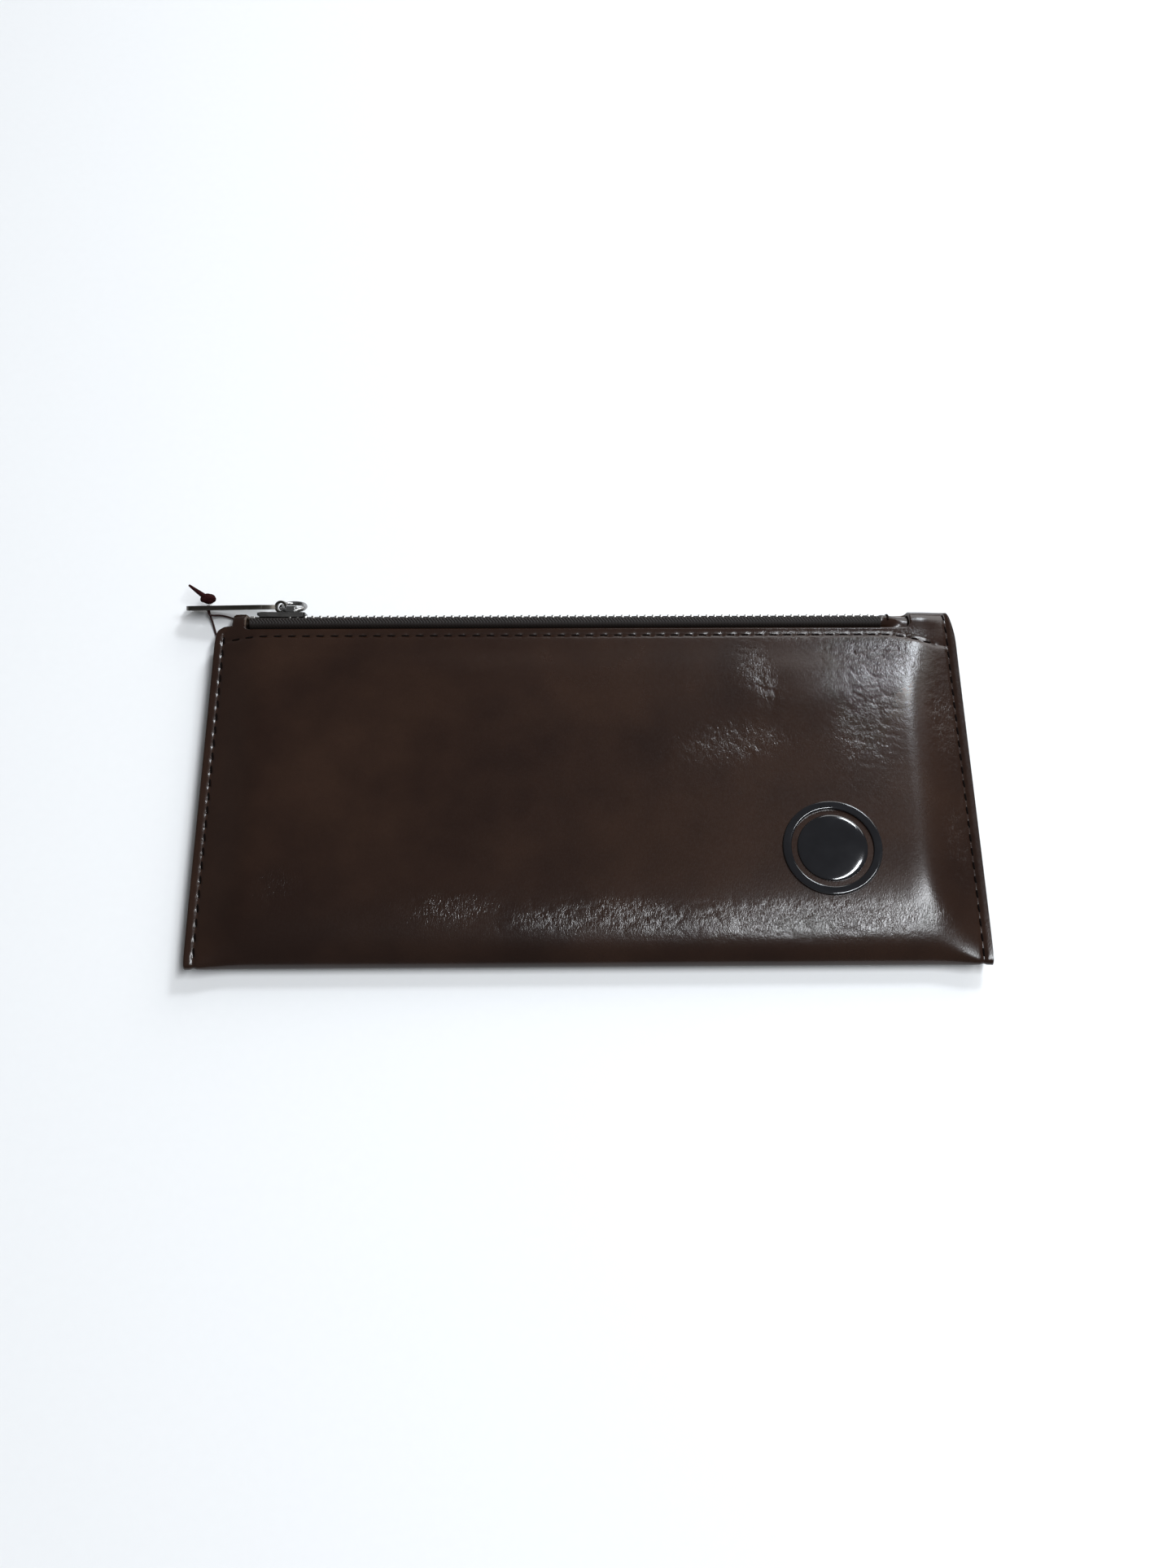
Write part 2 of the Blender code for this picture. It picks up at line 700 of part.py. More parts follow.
def end_tab_row(x):
    """The end tab's middle: level with the zip at its left, sunk just below the fold at its right."""
    sunk = smooth((x - END_TAB_X[0]) / END_TAB_SINK)
    raised = [(SLOT_FRONT_Y + beyond, z) for beyond, z in END_TAB_PAST_LIP]
    raised += [chain_point(across, out) for across, out in END_TAB_OVER_ZIP]
    top = wrap_parameter(x, SLOT_FRONT_Y - 1.0, FRONT_KEYS)
    row = []
    for i, (y, z) in enumerate(raised):
        t = top + (END_TAB_LAST_T - top) * i / (len(raised) - 1)
        below = wrap_point(x, t, (LEATHER + END_TAB) / 2 + FRONT_TAPE_GAP)
        row.append(Vector((x, y + (below.y - y) * sunk, z + (below.z - z) * sunk)))
    return row


def end_tab():
    leather = new_material("end_tab_leather", (0.05, 0.024, 0.015), 0.3)
    start, end = END_TAB_X
    rows = [end_tab_row(start + (end - start) * i / 10) for i in range(11)]
    sheet("zip_end_tab", rows, END_TAB, leather)
    fibre = new_material("end_tab_thread_fibre", (0.02, 0.012, 0.01), 0.6)
    row = end_tab_row(END_TAB_SEAM_X)[:-1]
    points = []
    for before, here, after in zip(row[2:], row[3:], row[4:]):
        along = (after - before).normalized()
        points.append(here + Vector((0.0, along.z, -along.y)) * -END_TAB_THREAD_RISE)
    tube("end_tab_thread", points, THREAD_RADIUS, fibre)


def lathe(name, profile, material, place, steps=40):
    """A solid turned from a profile of (radius, height) about the place's Z."""
    bm = bmesh.new()
    verts = [bm.verts.new((radius, 0.0, height)) for radius, height in profile]
    for first, second in zip(verts, verts[1:]):
        bm.edges.new((first, second))
    bmesh.ops.spin(
        bm, geom=bm.verts[:] + bm.edges[:], axis=(0, 0, 1), cent=(0, 0, 0), steps=steps, angle=2 * math.pi
    )
    bmesh.ops.remove_doubles(bm, verts=bm.verts, dist=1e-4)
    obj = add_object(name, mesh_from(bm), material, place)
    shade_smooth(obj)
    return obj


def emblem():
    """A plain round boss and a ring round it, laid on the front."""
    x, y = EMBLEM
    t = wrap_parameter(x, y, FRONT_KEYS)
    on_leather = wrap_point(x, t, -LEATHER / 2 - EMBLEM_GAP)
    ahead = wrap_point(x, t - 0.3)
    behind = wrap_point(x, t + 0.3)
    y_axis = (ahead - behind).normalized()
    x_axis = Vector((1, 0, 0))
    place = frame_at(on_leather, x_axis, y_axis, x_axis.cross(y_axis))
    outer, inner, boss = EMBLEM_RADII
    gloss = new_material("emblem_ring_gloss", (0.004, 0.004, 0.005), 0.12)
    ring = (
        (inner, 0.0), (outer, 0.0), (outer, 0.35), (outer - 0.5, 0.85),
        (inner + 0.5, 0.85), (inner, 0.35), (inner, 0.0),
    )
    lathe("emblem_ring", ring, gloss, place)
    gloss = new_material("emblem_boss_gloss", (0.004, 0.004, 0.005), 0.12)
    dome = (
        (0.0, 0.0), (boss, 0.0), (boss, 0.35), (boss - 0.6, 0.8), (boss * 0.6, EMBLEM_HEIGHT),
        (0.0, EMBLEM_HEIGHT + 0.1),
    )
    lathe("emblem_boss", dome, gloss, place)


for old in list(bpy.data.objects):
    bpy.data.objects.remove(old, do_unlink=True)
PARTS = collection("zippered_pouch")
HELPERS = collection("helpers")

leather_wrap()
lining()
zip_tapes()
zip_chain()
end_tab()
slider()
pull_ring()
pull_tab()
cord()
threads()
emblem()
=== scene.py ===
"""Looks of the zippered leather pouch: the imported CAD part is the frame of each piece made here.

+X runs along the zip, +Y points at the zip edge, +Z is up. Lengths are millimetres until a mesh is made.
"""

import math

import bmesh
import bpy
import numpy as np
from mathutils import Matrix, Vector


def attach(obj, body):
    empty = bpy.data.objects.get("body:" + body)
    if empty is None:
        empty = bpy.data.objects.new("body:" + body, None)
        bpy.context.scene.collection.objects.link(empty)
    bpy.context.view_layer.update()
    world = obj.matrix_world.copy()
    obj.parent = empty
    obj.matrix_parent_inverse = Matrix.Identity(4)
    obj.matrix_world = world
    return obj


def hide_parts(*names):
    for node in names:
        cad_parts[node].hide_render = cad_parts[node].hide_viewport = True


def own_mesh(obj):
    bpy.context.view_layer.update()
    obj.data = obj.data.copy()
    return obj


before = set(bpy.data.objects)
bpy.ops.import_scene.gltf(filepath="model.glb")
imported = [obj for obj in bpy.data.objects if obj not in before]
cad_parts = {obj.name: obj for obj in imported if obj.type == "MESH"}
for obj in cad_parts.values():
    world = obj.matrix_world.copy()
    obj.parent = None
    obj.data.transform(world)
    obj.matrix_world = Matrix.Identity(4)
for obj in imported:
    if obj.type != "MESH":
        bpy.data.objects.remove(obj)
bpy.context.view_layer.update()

MM = 0.001
RNG = np.random.default_rng(11)

# ---- The CAD part's sizes, repeated ----
HALF_WIDTH = 100.5
LEATHER = 1.1
BASE = LEATHER / 2
SEAM_FLAT = 2.8
SLOPE_START = 1.35
SLOPE_POWER = 2.2
NOTCH = (-96.1, 45.3)
NOTCH_ROUND = 3.0
# The sheet's section, from the flap over the fold, down the front and back under. Each row has y and z
# half way along the pouch, y and z at its side seams, the width of the slope and the inset of the side
WRAP = np.array(
    (
        (38.5, 2.15, 38.5, 5.35, 13, 0.0),
        (42.5, 2.15, 42.5, 5.35, 13, 0.0),
        (46.0, 2.1, 46.0, 5.3, 9, 0.2),
        (49.2, 2.2, 48.5, 5.35, 8, 1.0),
        (49.9, 4.6, 49.3, 5.7, 8, 1.6),
        (49.0, 7.3, 49.2, 6.5, 8, 1.6),
        (46.8, 9.2, 47.4, 7.3, 8, 1.0),
        (43.8, 8.8, 44.0, 7.3, 9, 0.4),
        (41.0, 8.8, 41.0, 7.2, 10, 0.0),
        (36.0, 9.4, 36.0, 7.0, 12, 0.0),
        (26.0, 10.2, 26.0, 6.8, 14, 0.0),
        (10.0, 10.8, 10.0, 6.7, 15, 0.0),
        (-8.0, 10.9, -8.0, 6.6, 15, 0.0),
        (-24.0, 10.6, -24.0, 6.5, 15, 0.0),
        (-34.5, 10.1, -36.0, 6.4, 14, 0.0),
        (-41.5, 8.8, -45.0, 6.2, 12, 0.0),
        (-47.3, 6.6, -49.8, 5.9, 12, 0.0),
        (-50.8, 3.4, -50.7, 4.9, 12, 0.0),
        (-48.2, BASE, -49.8, 3.75, 12, 0.0),
        (-40.5, BASE, -43.5, 3.75, 12, 0.0),
        (-33.0, BASE, -36.0, 3.75, 12, 0.0),
        (0.0, BASE, 0.0, 3.75, 12, 0.0),
        (34.0, BASE, 34.0, 3.75, 12, 0.0),
        (41.0, BASE, 41.0, 3.75, 12, 0.0),
        (46.0, BASE, 46.0, 3.75, 12, 0.4),
        (49.8, 0.95, 49.5, 3.75, 12, 1.2),
    )
)
LAST = len(WRAP) - 1
# Places down the section as t, which counts the rows of WRAP from 0
FRONT_T = (6.5, 17.0)
RELIEF_T = (7.5, 17.2)
ROLL_T = (16.9, 17.9)
STEADY_T = 12.0
SEAMS_T = {"left": (-1, 7.35, 23.6), "right": (1, 4.9, 24.2)}
GROOVE_START_T = {-1: 7.2, 1: 4.6}
GROOVE_END_T = 24.3
SLOT_X = (-92.5, 88.0)
SLOT_FRONT_Y = 43.6
SLOT_BACK_Z = 4.3
SLOT_CORNER = 1.6
CHAIN_Y, CHAIN_Z = 47.5, 7.3
CHAIN_TILT = math.radians(22)
CHAIN_X = (-81.2, 78.0)
TOOTH_PITCH = 2.1
TOOTH_WIDTH = 0.82
TOOTH_THICKNESS = 1.8
TOOTH_REACH = 0.45
TOOTH_LEGS = 2.0
TOOTH_BEVEL = 0.16
FIRST_TOOTH = 0.3
TAPE = 0.45
TAPE_X = (-91.0, 79.2)
TAPE_EDGE = 1.95
TAPE_BEND = 3.45
BEAD_ACROSS = 1.25
BEAD_RADIUS = 0.62
TAPE_PAST_LIP = ((0.7, 9.55), (0.5, 8.9), (0.45, 7.9), (0.1, 7.3))
FRONT_TAPE_Y = (42.4, 41.0, 39.0, 37.0)
FLAP_TAPE_Y = (46.8, 45.4, 43.5, 41.0, 39.2)
FRONT_TAPE_GAP = 0.25
FLAP_TAPE_GAP = 0.2
RING_RADIUS = 3.25
RING_WIRE = 0.6
RING_DROOP = math.radians(-41)
RING_PIVOT = 2.55
BAIL_X = -80.3
TAB_THICKNESS = 1.2
TAB_HOLE = 20.7
TAB_DIRECTION = Vector((-24.0, 1.3, -2.75)).normalized()
TAB_ACROSS = Vector((0.0, -0.5, 0.87)).normalized()
CORD_RADIUS = 0.27
SIDE_ROW = 2.4
FRONT_ROW_Y = 41.4
EMBLEM = (61.5, -22.0)
EMBLEM_RADII = (12.6, 10.4, 8.9)
EMBLEM_GAP = 0.3
EMBLEM_FOOT = -0.6
EMBLEM_RING_TOP = 0.9
EMBLEM_RING_ROUND = 0.45
DOME_EDGE = 0.35
DOME_RISE = 0.75
DOME_ROUND = 0.7

# ---- What only the looks need ----
STITCH_PITCH = 3.85
STITCH = 2.75
STITCH_RADIUS = 0.3
STITCH_SINK = 0.04
STITCH_DIP = 0.5
STITCH_SLANT = 0.13
GROOVE = 0.34
GROOVE_WIDTH = 0.55
EDGE_ROUND = 0.22
TWILL_PITCH = 0.85
TWILL_DEPTH = 0.16
TWILL_LEAN = 1.1
TWILL_TURN = 1.9
TAPE_STEP = 0.16
SHEET_STEP = 0.46
FRONT_STEP = 0.42
FOLD_STEP = 0.3
TAPE_UNDER_TAB = 0.9
TAB_SEAM_X = 82.0
TAB_SEAM_CENTRE = (46.0, 7.0)
METAL_WEAR = 0.12
WELD = 0.01
LATTICE = 256
# Slow swells of the front (cell sizes, seed, height) and its mounds (middle, radii, turn, height)
SWELLS = ((38, 30, 3, 0.6), (17, 15, 4, 0.12))
MOUNDS = ((60, 20, 16, 12, 0, 0.5), (52, 10, 20, 5, 25, -0.3))
# Patches of fine creases on the front: middle, radii, turn, cell sizes, turn of the cells, depth
CREASE_PATCHES = (
    ((-79, -31), (7, 5), 0, (1.5, 4.5), 60, 0.07),
    ((46, 27), (4, 10), 15, (1.6, 5.0), 75, 0.08),
    ((38, 8), (14, 5), 10, (1.5, 3.2), 30, 0.07),
    ((73, 14), (8, 16), -5, (1.7, 6.5), 85, 0.05),
    ((77, 33), (12, 6), 0, (1.5, 2.2), 20, 0.06),
    ((68, 42), (24, 2.2), 0, (1.4, 1.8), 10, 0.08),
    ((-35, -37), (14, 4), 0, (1.5, 5.0), 88, 0.06),
    ((5, -39), (30, 4), 0, (1.5, 4.5), 92, 0.07),
    ((55, -40), (34, 4), 0, (1.5, 4.0), 86, 0.07),
    ((94, -20), (4, 16), 0, (1.6, 2.4), 40, 0.08),
    ((94, 16), (4, 16), 0, (1.7, 2.8), 60, 0.06),
)

WORLD_LIGHT = 0.16
WORLD_SEEN = 0.95
CAMERA = Vector((-6.0, -168.9, 372.8))
CAMERA_TARGET = Vector((0.1, 1.3, 0.0))
CAMERA_ROLL = math.radians(1.6)
CAMERA_LENS = 35.5
# Each light's direction from the pouch, distance, width and height in metres, watts and colour
LIGHTS = {
    "key": ((0.34, -0.13, 0.93), 1.2, (0.8, 0.11), 12.0, (0.92, 0.96, 1.0)),
    "right": ((0.42, 0.62, 0.7), 1.3, (0.25, 0.2), 6.0, (0.88, 0.94, 1.0)),
    "fill": ((0.45, 0.85, 0.42), 1.5, (1.2, 0.8), 9.0, (1.0, 1.0, 1.0)),
}


def smooth(value):
    """An eased step: 0 up to 0, and 1 from 1."""
    value = np.clip(value, 0.0, 1.0)
    return value * value * (3 - 2 * value)


# ---- The wrapped sheet as a surface over (x, t) ----
def wrap_controls(xs):
    """Control points of the section at each x, as an array (x, control, 3)."""
    y_mid, z_mid, y_side, z_side, slope, inset = WRAP.T
    from_side = (HALF_WIDTH - np.abs(xs))[:, None]
    full = 1 - (1 - np.clip((from_side - SEAM_FLAT) / slope, 0, 1) ** SLOPE_START) ** SLOPE_POWER
    pulled = inset * (np.abs(xs)[:, None] / HALF_WIDTH) ** 40
    x = xs[:, None] - np.sign(xs)[:, None] * pulled
    return np.stack([x, y_side + (y_mid - y_side) * full, z_side + (z_mid - z_side) * full], axis=2)


def b_spline(controls, t):
    """Points on the uniform cubic B-splines: controls (n, k, 3), t (n, m)."""
    last = controls.shape[1] - 1
    step = np.clip(t.astype(int), 0, last - 1)
    f = t - step
    weights = (
        (1 - f) ** 3 / 6,
        (3 * f**3 - 6 * f**2 + 4) / 6,
        (-3 * f**3 + 3 * f**2 + 3 * f + 1) / 6,
        f**3 / 6,
    )
    rows = np.arange(len(controls))[:, None]
    total = 0
    for k, weight in enumerate(weights):
        total = total + weight[:, :, None] * controls[rows, np.clip(step + k - 1, 0, last)]
    return total


def wrap_middle(xs, t):
    """The sheet's middle at each (x, t)."""
    return b_spline(wrap_controls(np.asarray(xs, float)), np.clip(t, 0, LAST))


def wrap_normal(xs, t, step=0.03):
    """Unit normals out of the pouch."""
    xs = np.asarray(xs, float)
    along = wrap_middle(xs, t + step) - wrap_middle(xs, t - step)
    near = np.clip(xs - 0.2, -HALF_WIDTH, HALF_WIDTH)
    far = np.clip(xs + 0.2, -HALF_WIDTH, HALF_WIDTH)
    across = wrap_middle(far, t) - wrap_middle(near, t)
    normal = np.cross(along, across)
    return normal / np.linalg.norm(normal, axis=2, keepdims=True)


def crossing(xs, axis, value, low, high):
    """The t at which each section crosses a value of y or z between two values of t.

    axis is 1 for y and 2 for z. value is one number, or one for each x.
    """
    t = np.tile(np.linspace(low, high, 81), (len(xs), 1))
    gap = wrap_middle(xs, t)[:, :, axis] - np.reshape(value, (-1, 1))
    first = np.argmax(np.sign(gap[:, :-1]) != np.sign(gap[:, 1:]), axis=1)
    rows = np.arange(len(xs))
    before, after = gap[rows, first], gap[rows, first + 1]
    share = np.clip(before / np.where(before == after, 1, before - after), 0, 1)
    return t[rows, first] + share * (t[0, 1] - t[0, 0])


def chain_point(across, out):
    """(y, z) of a point across the zip's face and out of it."""
    y = CHAIN_Y + across * math.sin(CHAIN_TILT) + out * math.cos(CHAIN_TILT)
    z = CHAIN_Z - across * math.cos(CHAIN_TILT) + out * math.sin(CHAIN_TILT)
    return y, z


# ---- Noise, and the height of the leather's own surface ----
def lattice_noise(x, y, cell_x, cell_y, seed):
    """Smooth noise from 0 to 1 on a lattice of cells."""
    table = np.random.default_rng(seed).random((LATTICE + 1, LATTICE + 1))
    u, v = x / cell_x + 1000, y / cell_y + 1000
    i, j = np.floor(u).astype(int), np.floor(v).astype(int)
    f, g = smooth(u - i), smooth(v - j)
    i, i_next, j, j_next = i % LATTICE, (i + 1) % LATTICE, j % LATTICE, (j + 1) % LATTICE
    a, b = table[i, j], table[i_next, j]
    c, d = table[i, j_next], table[i_next, j_next]
    return (a * (1 - f) + b * f) * (1 - g) + (c * (1 - f) + d * f) * g


def turned(x, y, degrees):
    """x and y measured along axes turned by an angle."""
    c, s = math.cos(math.radians(degrees)), math.sin(math.radians(degrees))
    return c * x + s * y, -s * x + c * y


def creases(x, y, cell_x, cell_y, degrees, seed, width=0.09):
    """Thin valleys that wander, from 0 to 1: the lines where a noise passes its middle."""
    u, v = turned(x, y, degrees)
    u = u + 0.7 * cell_x * lattice_noise(x, y, cell_x * 1.3, cell_x * 1.3, seed + 50)
    lines = np.abs(lattice_noise(u, v, cell_x, cell_y, seed) - 0.5)
    return np.exp(-((lines / width) ** 2))


def spot(x, y, cx, cy, rx, ry, degrees=0):
    """A soft round patch, 1 in its middle."""
    u, v = turned(x - cx, y - cy, degrees)
    return np.exp(-((u / rx) ** 2 + (v / ry) ** 2))


def front_height(x, y):
    """Relief of the front in mm: slow swells, then patches of creases."""
    inside = smooth((96 - np.abs(x)) / 16) * smooth((38 - y) / 10) * smooth((y + 52) / 12)
    height = sum(lattice_noise(x, y, *cells, seed) * rise for *cells, seed, rise in SWELLS)
    height = height + sum(spot(x, y, *mound) * rise for *mound, rise in MOUNDS)
    height = height * inside
    for seed, (middle, radii, turn, cells, cell_turn, depth) in enumerate(CREASE_PATCHES):
        patch = np.clip(1.4 * spot(x, y, *middle, *radii, turn), 0, 1)
        height = height - depth * patch * creases(x, y, *cells, cell_turn, 20 + seed)
    return height


def crumple_mask(x, y):
    """Where the leather's grain is crumpled, from 0 to 1."""
    mask = np.zeros_like(x)
    for middle, radii, turn, *_ in CREASE_PATCHES:
        mask = np.maximum(mask, np.clip(1.3 * spot(x, y, *middle, *radii, turn), 0, 1))
    broken = smooth((lattice_noise(x, y, 5.5, 4.5, 90) - 0.25) / 0.4)
    return mask * (0.55 + 0.45 * broken)


def row_y(x):
    """The row of stitches under the zip bends down to the right corner."""
    return FRONT_ROW_Y - 2.7 * smooth((x - 80) / 17) - 0.5 * smooth((-x - 86) / 10)


def groove(distance, arc):
    """Depth of the groove that a row of stitches pulls, deepest at the needle holes."""
    holes = 0.5 + 0.5 * np.cos(2 * math.pi * (arc / STITCH_PITCH + 0.5))
    depth = GROOVE * (0.75 + 0.5 * holes**3)
    return depth * np.exp(-((distance / GROOVE_WIDTH) ** 2)) + 0.08 * np.exp(-((distance / 1.7) ** 2))


def rows_depth(points, t):
    """Depth of all the stitch grooves at each point of the wrap."""
    x, y = points[:, :, 0], points[:, :, 1]
    depth = np.zeros_like(x)
    for side, start in GROOVE_START_T.items():
        there = smooth((t - start) / 0.2) * (t < GROOVE_END_T)
        depth += groove(x - side * (HALF_WIDTH - SIDE_ROW), y) * there
    lip = (t > FRONT_T[0]) & (t < FRONT_T[1]) & (y > 30)
    depth += np.where(lip, groove(y - row_y(x), x), 0) * smooth((HALF_WIDTH - 1.5 - np.abs(x)) / 1.5)
    return depth


def surface(xs, t):
    """The leather's outer face at each (x, t), its normals, and its middle raised by the relief."""
    xs = np.asarray(xs, float)
    middle = wrap_middle(xs, t)
    normal = wrap_normal(xs, t)
    front = smooth(t - RELIEF_T[0]) * smooth((RELIEF_T[1] - t) / 1.2)
    relief = front_height(middle[:, :, 0], middle[:, :, 1]) * front
    depth = np.minimum(rows_depth(middle, t), 0.5)
    lift = (relief - depth)[:, :, None]
    outer = middle + normal * (LEATHER / 2 + lift)
    return outer, normal, middle + normal * np.maximum(relief, 0)[:, :, None]


# ---- Meshes ----
def mesh_object(name, points, faces, materials, index=None):
    """A smooth-shaded object from points in mm and faces."""
    mesh = bpy.data.meshes.new(name)
    mesh.from_pydata((np.asarray(points, float) * MM).tolist(), [], [list(map(int, f)) for f in faces])
    for material in materials:
        mesh.materials.append(material)
    if index is not None:
        mesh.polygons.foreach_set("material_index", np.asarray(index, np.int32))
    mesh.polygons.foreach_set("use_smooth", np.full(len(mesh.polygons), True))
    mesh.validate()
    obj = bpy.data.objects.new(name, mesh)
    bpy.context.scene.collection.objects.link(obj)
    return obj


def sharp_by_angle(obj, degrees=40):
    """Marks edges sharp where the faces meet at more than an angle."""
    bm = bmesh.new()
    bm.from_mesh(obj.data)
    for edge in bm.edges:
        edge.smooth = edge.calc_face_angle(0) < math.radians(degrees)
    bm.to_mesh(obj.data)
    bm.free()


def fix_normals(obj):
    """Turns every face outwards."""
    bm = bmesh.new()
    bm.from_mesh(obj.data)
    bmesh.ops.recalc_face_normals(bm, faces=bm.faces)
    bm.to_mesh(obj.data)
    bm.free()


def shell_faces(rows, columns, keep):
    """Quads of an outer and an inner grid, and the rim that joins them where quads end.

    keep is an array (rows - 1, columns - 1). Points are numbered outer grid first.
    """
    half = rows * columns
    number = np.arange(half).reshape(rows, columns)
    corners = np.stack([number[:-1, :-1], number[1:, :-1], number[1:, 1:], number[:-1, 1:]], axis=2)[keep]
    edges = np.stack([corners, np.roll(corners, -1, axis=1)], axis=2).reshape(-1, 2)
    key = np.sort(edges, axis=1) @ np.array([half, 1])
    _, place, count = np.unique(key, return_inverse=True, return_counts=True)
    rim = edges[count[place.ravel()] == 1]
    walls = np.stack([rim[:, 1], rim[:, 0], rim[:, 0] + half, rim[:, 1] + half], axis=1)
    return corners, corners[:, ::-1] + half, walls


def ring_tube(path, radius, sides):
    """Points and quads of a closed-ended tube along a path. radius is one number or one per point."""
    path = np.asarray(path, float)
    radius = np.broadcast_to(radius, len(path))
    forward = np.gradient(path, axis=0)
    forward /= np.linalg.norm(forward, axis=1, keepdims=True)
    side = np.cross(forward[0], [0.3, 0.2, 0.9])
    points = []
    for at, along, r in zip(path, forward, radius):
        side = side - along * (side @ along)
        side /= np.linalg.norm(side)
        other = np.cross(along, side)
        angle = 2 * math.pi * np.arange(sides) / sides
        points.append(at + r * (np.cos(angle)[:, None] * side + np.sin(angle)[:, None] * other))
    points = np.concatenate(points + [path[:1], path[-1:]])
    faces = []
    for ring in range(len(path) - 1):
        for k in range(sides):
            a, b = ring * sides + k, ring * sides + (k + 1) % sides
            faces.append((a, b, b + sides, a + sides))
    first, last = len(path) * sides, len(path) * sides + 1
    end = (len(path) - 1) * sides
    for k in range(sides):
        faces.append((first, (k + 1) % sides, k))
        faces.append((last, end + k, end + (k + 1) % sides))
    return points, faces


class Parts:
    """Gathers many small closed shapes into one mesh."""

    def __init__(self):
        self.points = []
        self.faces = []
        self.count = 0

    def add(self, points, faces):
        self.points.append(np.asarray(points, float))
        self.faces += [[corner + self.count for corner in face] for face in faces]
        self.count += len(points)

    def build(self, name, material):
        obj = mesh_object(name, np.concatenate(self.points), self.faces, [material])
        fix_normals(obj)
        return obj


# ---- Materials ----
class Shader:
    """A node material, built by short calls."""

    def __init__(self, name):
        self.material = bpy.data.materials.new(name)
        self.material.use_nodes = True
        self.tree = self.material.node_tree
        self.main = self.tree.nodes["Principled BSDF"]
        self.place = self.tree.nodes.new("ShaderNodeTexCoord").outputs["Object"]

    def node(self, kind, inputs=None, **settings):
        made = self.tree.nodes.new("ShaderNode" + kind)
        for key, value in settings.items():
            setattr(made, key, value)
        for key, value in (inputs or {}).items():
            self.feed(made.inputs[key], value)
        return made

    def feed(self, socket, value):
        if isinstance(value, bpy.types.NodeSocket):
            self.tree.links.new(value, socket)
        elif isinstance(value, tuple) and len(value) == 3 and socket.type == "RGBA":
            socket.default_value = (*value, 1.0)
        else:
            socket.default_value = value

    def stretched(self, scale, vector=None):
        return self.node("Mapping", {"Vector": vector or self.place, "Scale": scale}).outputs["Vector"]

    def noise(self, scale, detail, vector=None):
        inputs = {"Vector": vector or self.place, "Scale": scale, "Detail": detail, "Roughness": 0.55}
        return self.node("TexNoise", inputs).outputs["Fac"]

    def cells(self, scale, vector=None, feature="F1"):
        made = self.node("TexVoronoi", {"Vector": vector or self.place, "Scale": scale}, feature=feature)
        return made.outputs["Distance"]

    def ramp(self, value, low, high, to_low=0.0, to_high=1.0):
        inputs = {"Value": value, "From Min": low, "From Max": high, "To Min": to_low, "To Max": to_high}
        return self.node("MapRange", inputs).outputs["Result"]

    def mix(self, factor, first, second):
        made = self.node("Mix", data_type="RGBA")
        self.feed(made.inputs["Factor"], factor)
        self.feed(made.inputs["A"], first)
        self.feed(made.inputs["B"], second)
        return made.outputs["Result"]

    def bump(self, height, depth, strength, after=None):
        inputs = {"Height": height, "Distance": depth, "Strength": strength}
        if after is not None:
            inputs["Normal"] = after
        return self.node("Bump", inputs).outputs["Normal"]

    def set(self, **values):
        names = {
            "color": "Base Color",
            "roughness": "Roughness",
            "metallic": "Metallic",
            "normal": "Normal",
            "coat": "Coat Weight",
            "coat_roughness": "Coat Roughness",
            "specular": "Specular IOR Level",
        }
        for key, value in values.items():
            self.feed(self.main.inputs[names[key]], value)
        return self.material


def leather_material(name, dark, light):
    """Glossy waxed leather: slow mottling, fine pores, a tight grain, and crumples by the mask."""
    made = Shader(name)
    mottle = made.noise(38.0, 4.0)
    cloud = made.noise(900.0, 3.0)
    color = made.mix(made.ramp(mottle, 0.35, 0.68), dark, light)
    color = made.mix(made.ramp(cloud, 0.45, 0.8, 0.0, 0.2), color, dark)
    mask = made.node("Attribute", attribute_name="crumple").outputs["Fac"]
    warp = made.node("TexNoise", {"Vector": made.place, "Scale": 500.0, "Detail": 2.0}).outputs["Color"]
    bent = made.node("Mix", {"Factor": 0.0016}, data_type="RGBA", blend_type="ADD")
    made.feed(bent.inputs["A"], made.place)
    made.feed(bent.inputs["B"], warp)
    vector = made.stretched((1.5, 0.6, 1.0), bent.outputs["Result"])
    fine_lines = made.ramp(made.cells(1200.0, vector, "DISTANCE_TO_EDGE"), 0.0, 0.16)
    broad_lines = made.ramp(made.cells(780.0, vector, "DISTANCE_TO_EDGE"), 0.0, 0.11)
    normal = made.bump(broad_lines, 0.00009, made.ramp(mask, 0.05, 1.0, 0.02, 0.22))
    normal = made.bump(fine_lines, 0.00005, made.ramp(mask, 0.0, 1.0, 0.05, 0.28), normal)
    normal = made.bump(made.cells(2300.0), 0.000025, 0.3, normal)
    normal = made.bump(made.noise(3400.0, 2.0), 0.00002, 0.35, normal)
    rough = made.ramp(made.noise(1500.0, 4.0), 0.3, 0.75, 0.19, 0.24)
    return made.set(color=color, roughness=rough, normal=normal, specular=0.42)


def cut_edge_material(name, color, roughness):
    """Cut edge of leather: fibres with a skin of edge paint."""
    made = Shader(name)
    fibres = made.noise(2600.0, 4.0, made.stretched((1.0, 1.0, 3.0)))
    shade = made.mix(made.ramp(fibres, 0.3, 0.75), tuple(c * 0.55 for c in color), color)
    return made.set(color=shade, roughness=roughness, normal=made.bump(fibres, 0.00006, 0.6))


def thread_material(name, color):
    """Twisted thread, with painted shade: darker colour in the grooves of its twist."""
    made = Shader(name)
    waves = made.node("TexWave", {"Vector": made.place, "Scale": 900.0, "Distortion": 1.0})
    waves.bands_direction = "DIAGONAL"
    # Painted shade: the colour falls to 45 % of the thread's own where the wave, and so the bump, is low,
    # in the twist's grooves.
    shade = made.mix(made.ramp(waves.outputs["Fac"], 0.2, 0.9), tuple(c * 0.45 for c in color), color)
    normal = made.bump(waves.outputs["Fac"], 0.00008, 0.7)
    return made.set(color=shade, roughness=0.8, normal=normal, specular=0.05)


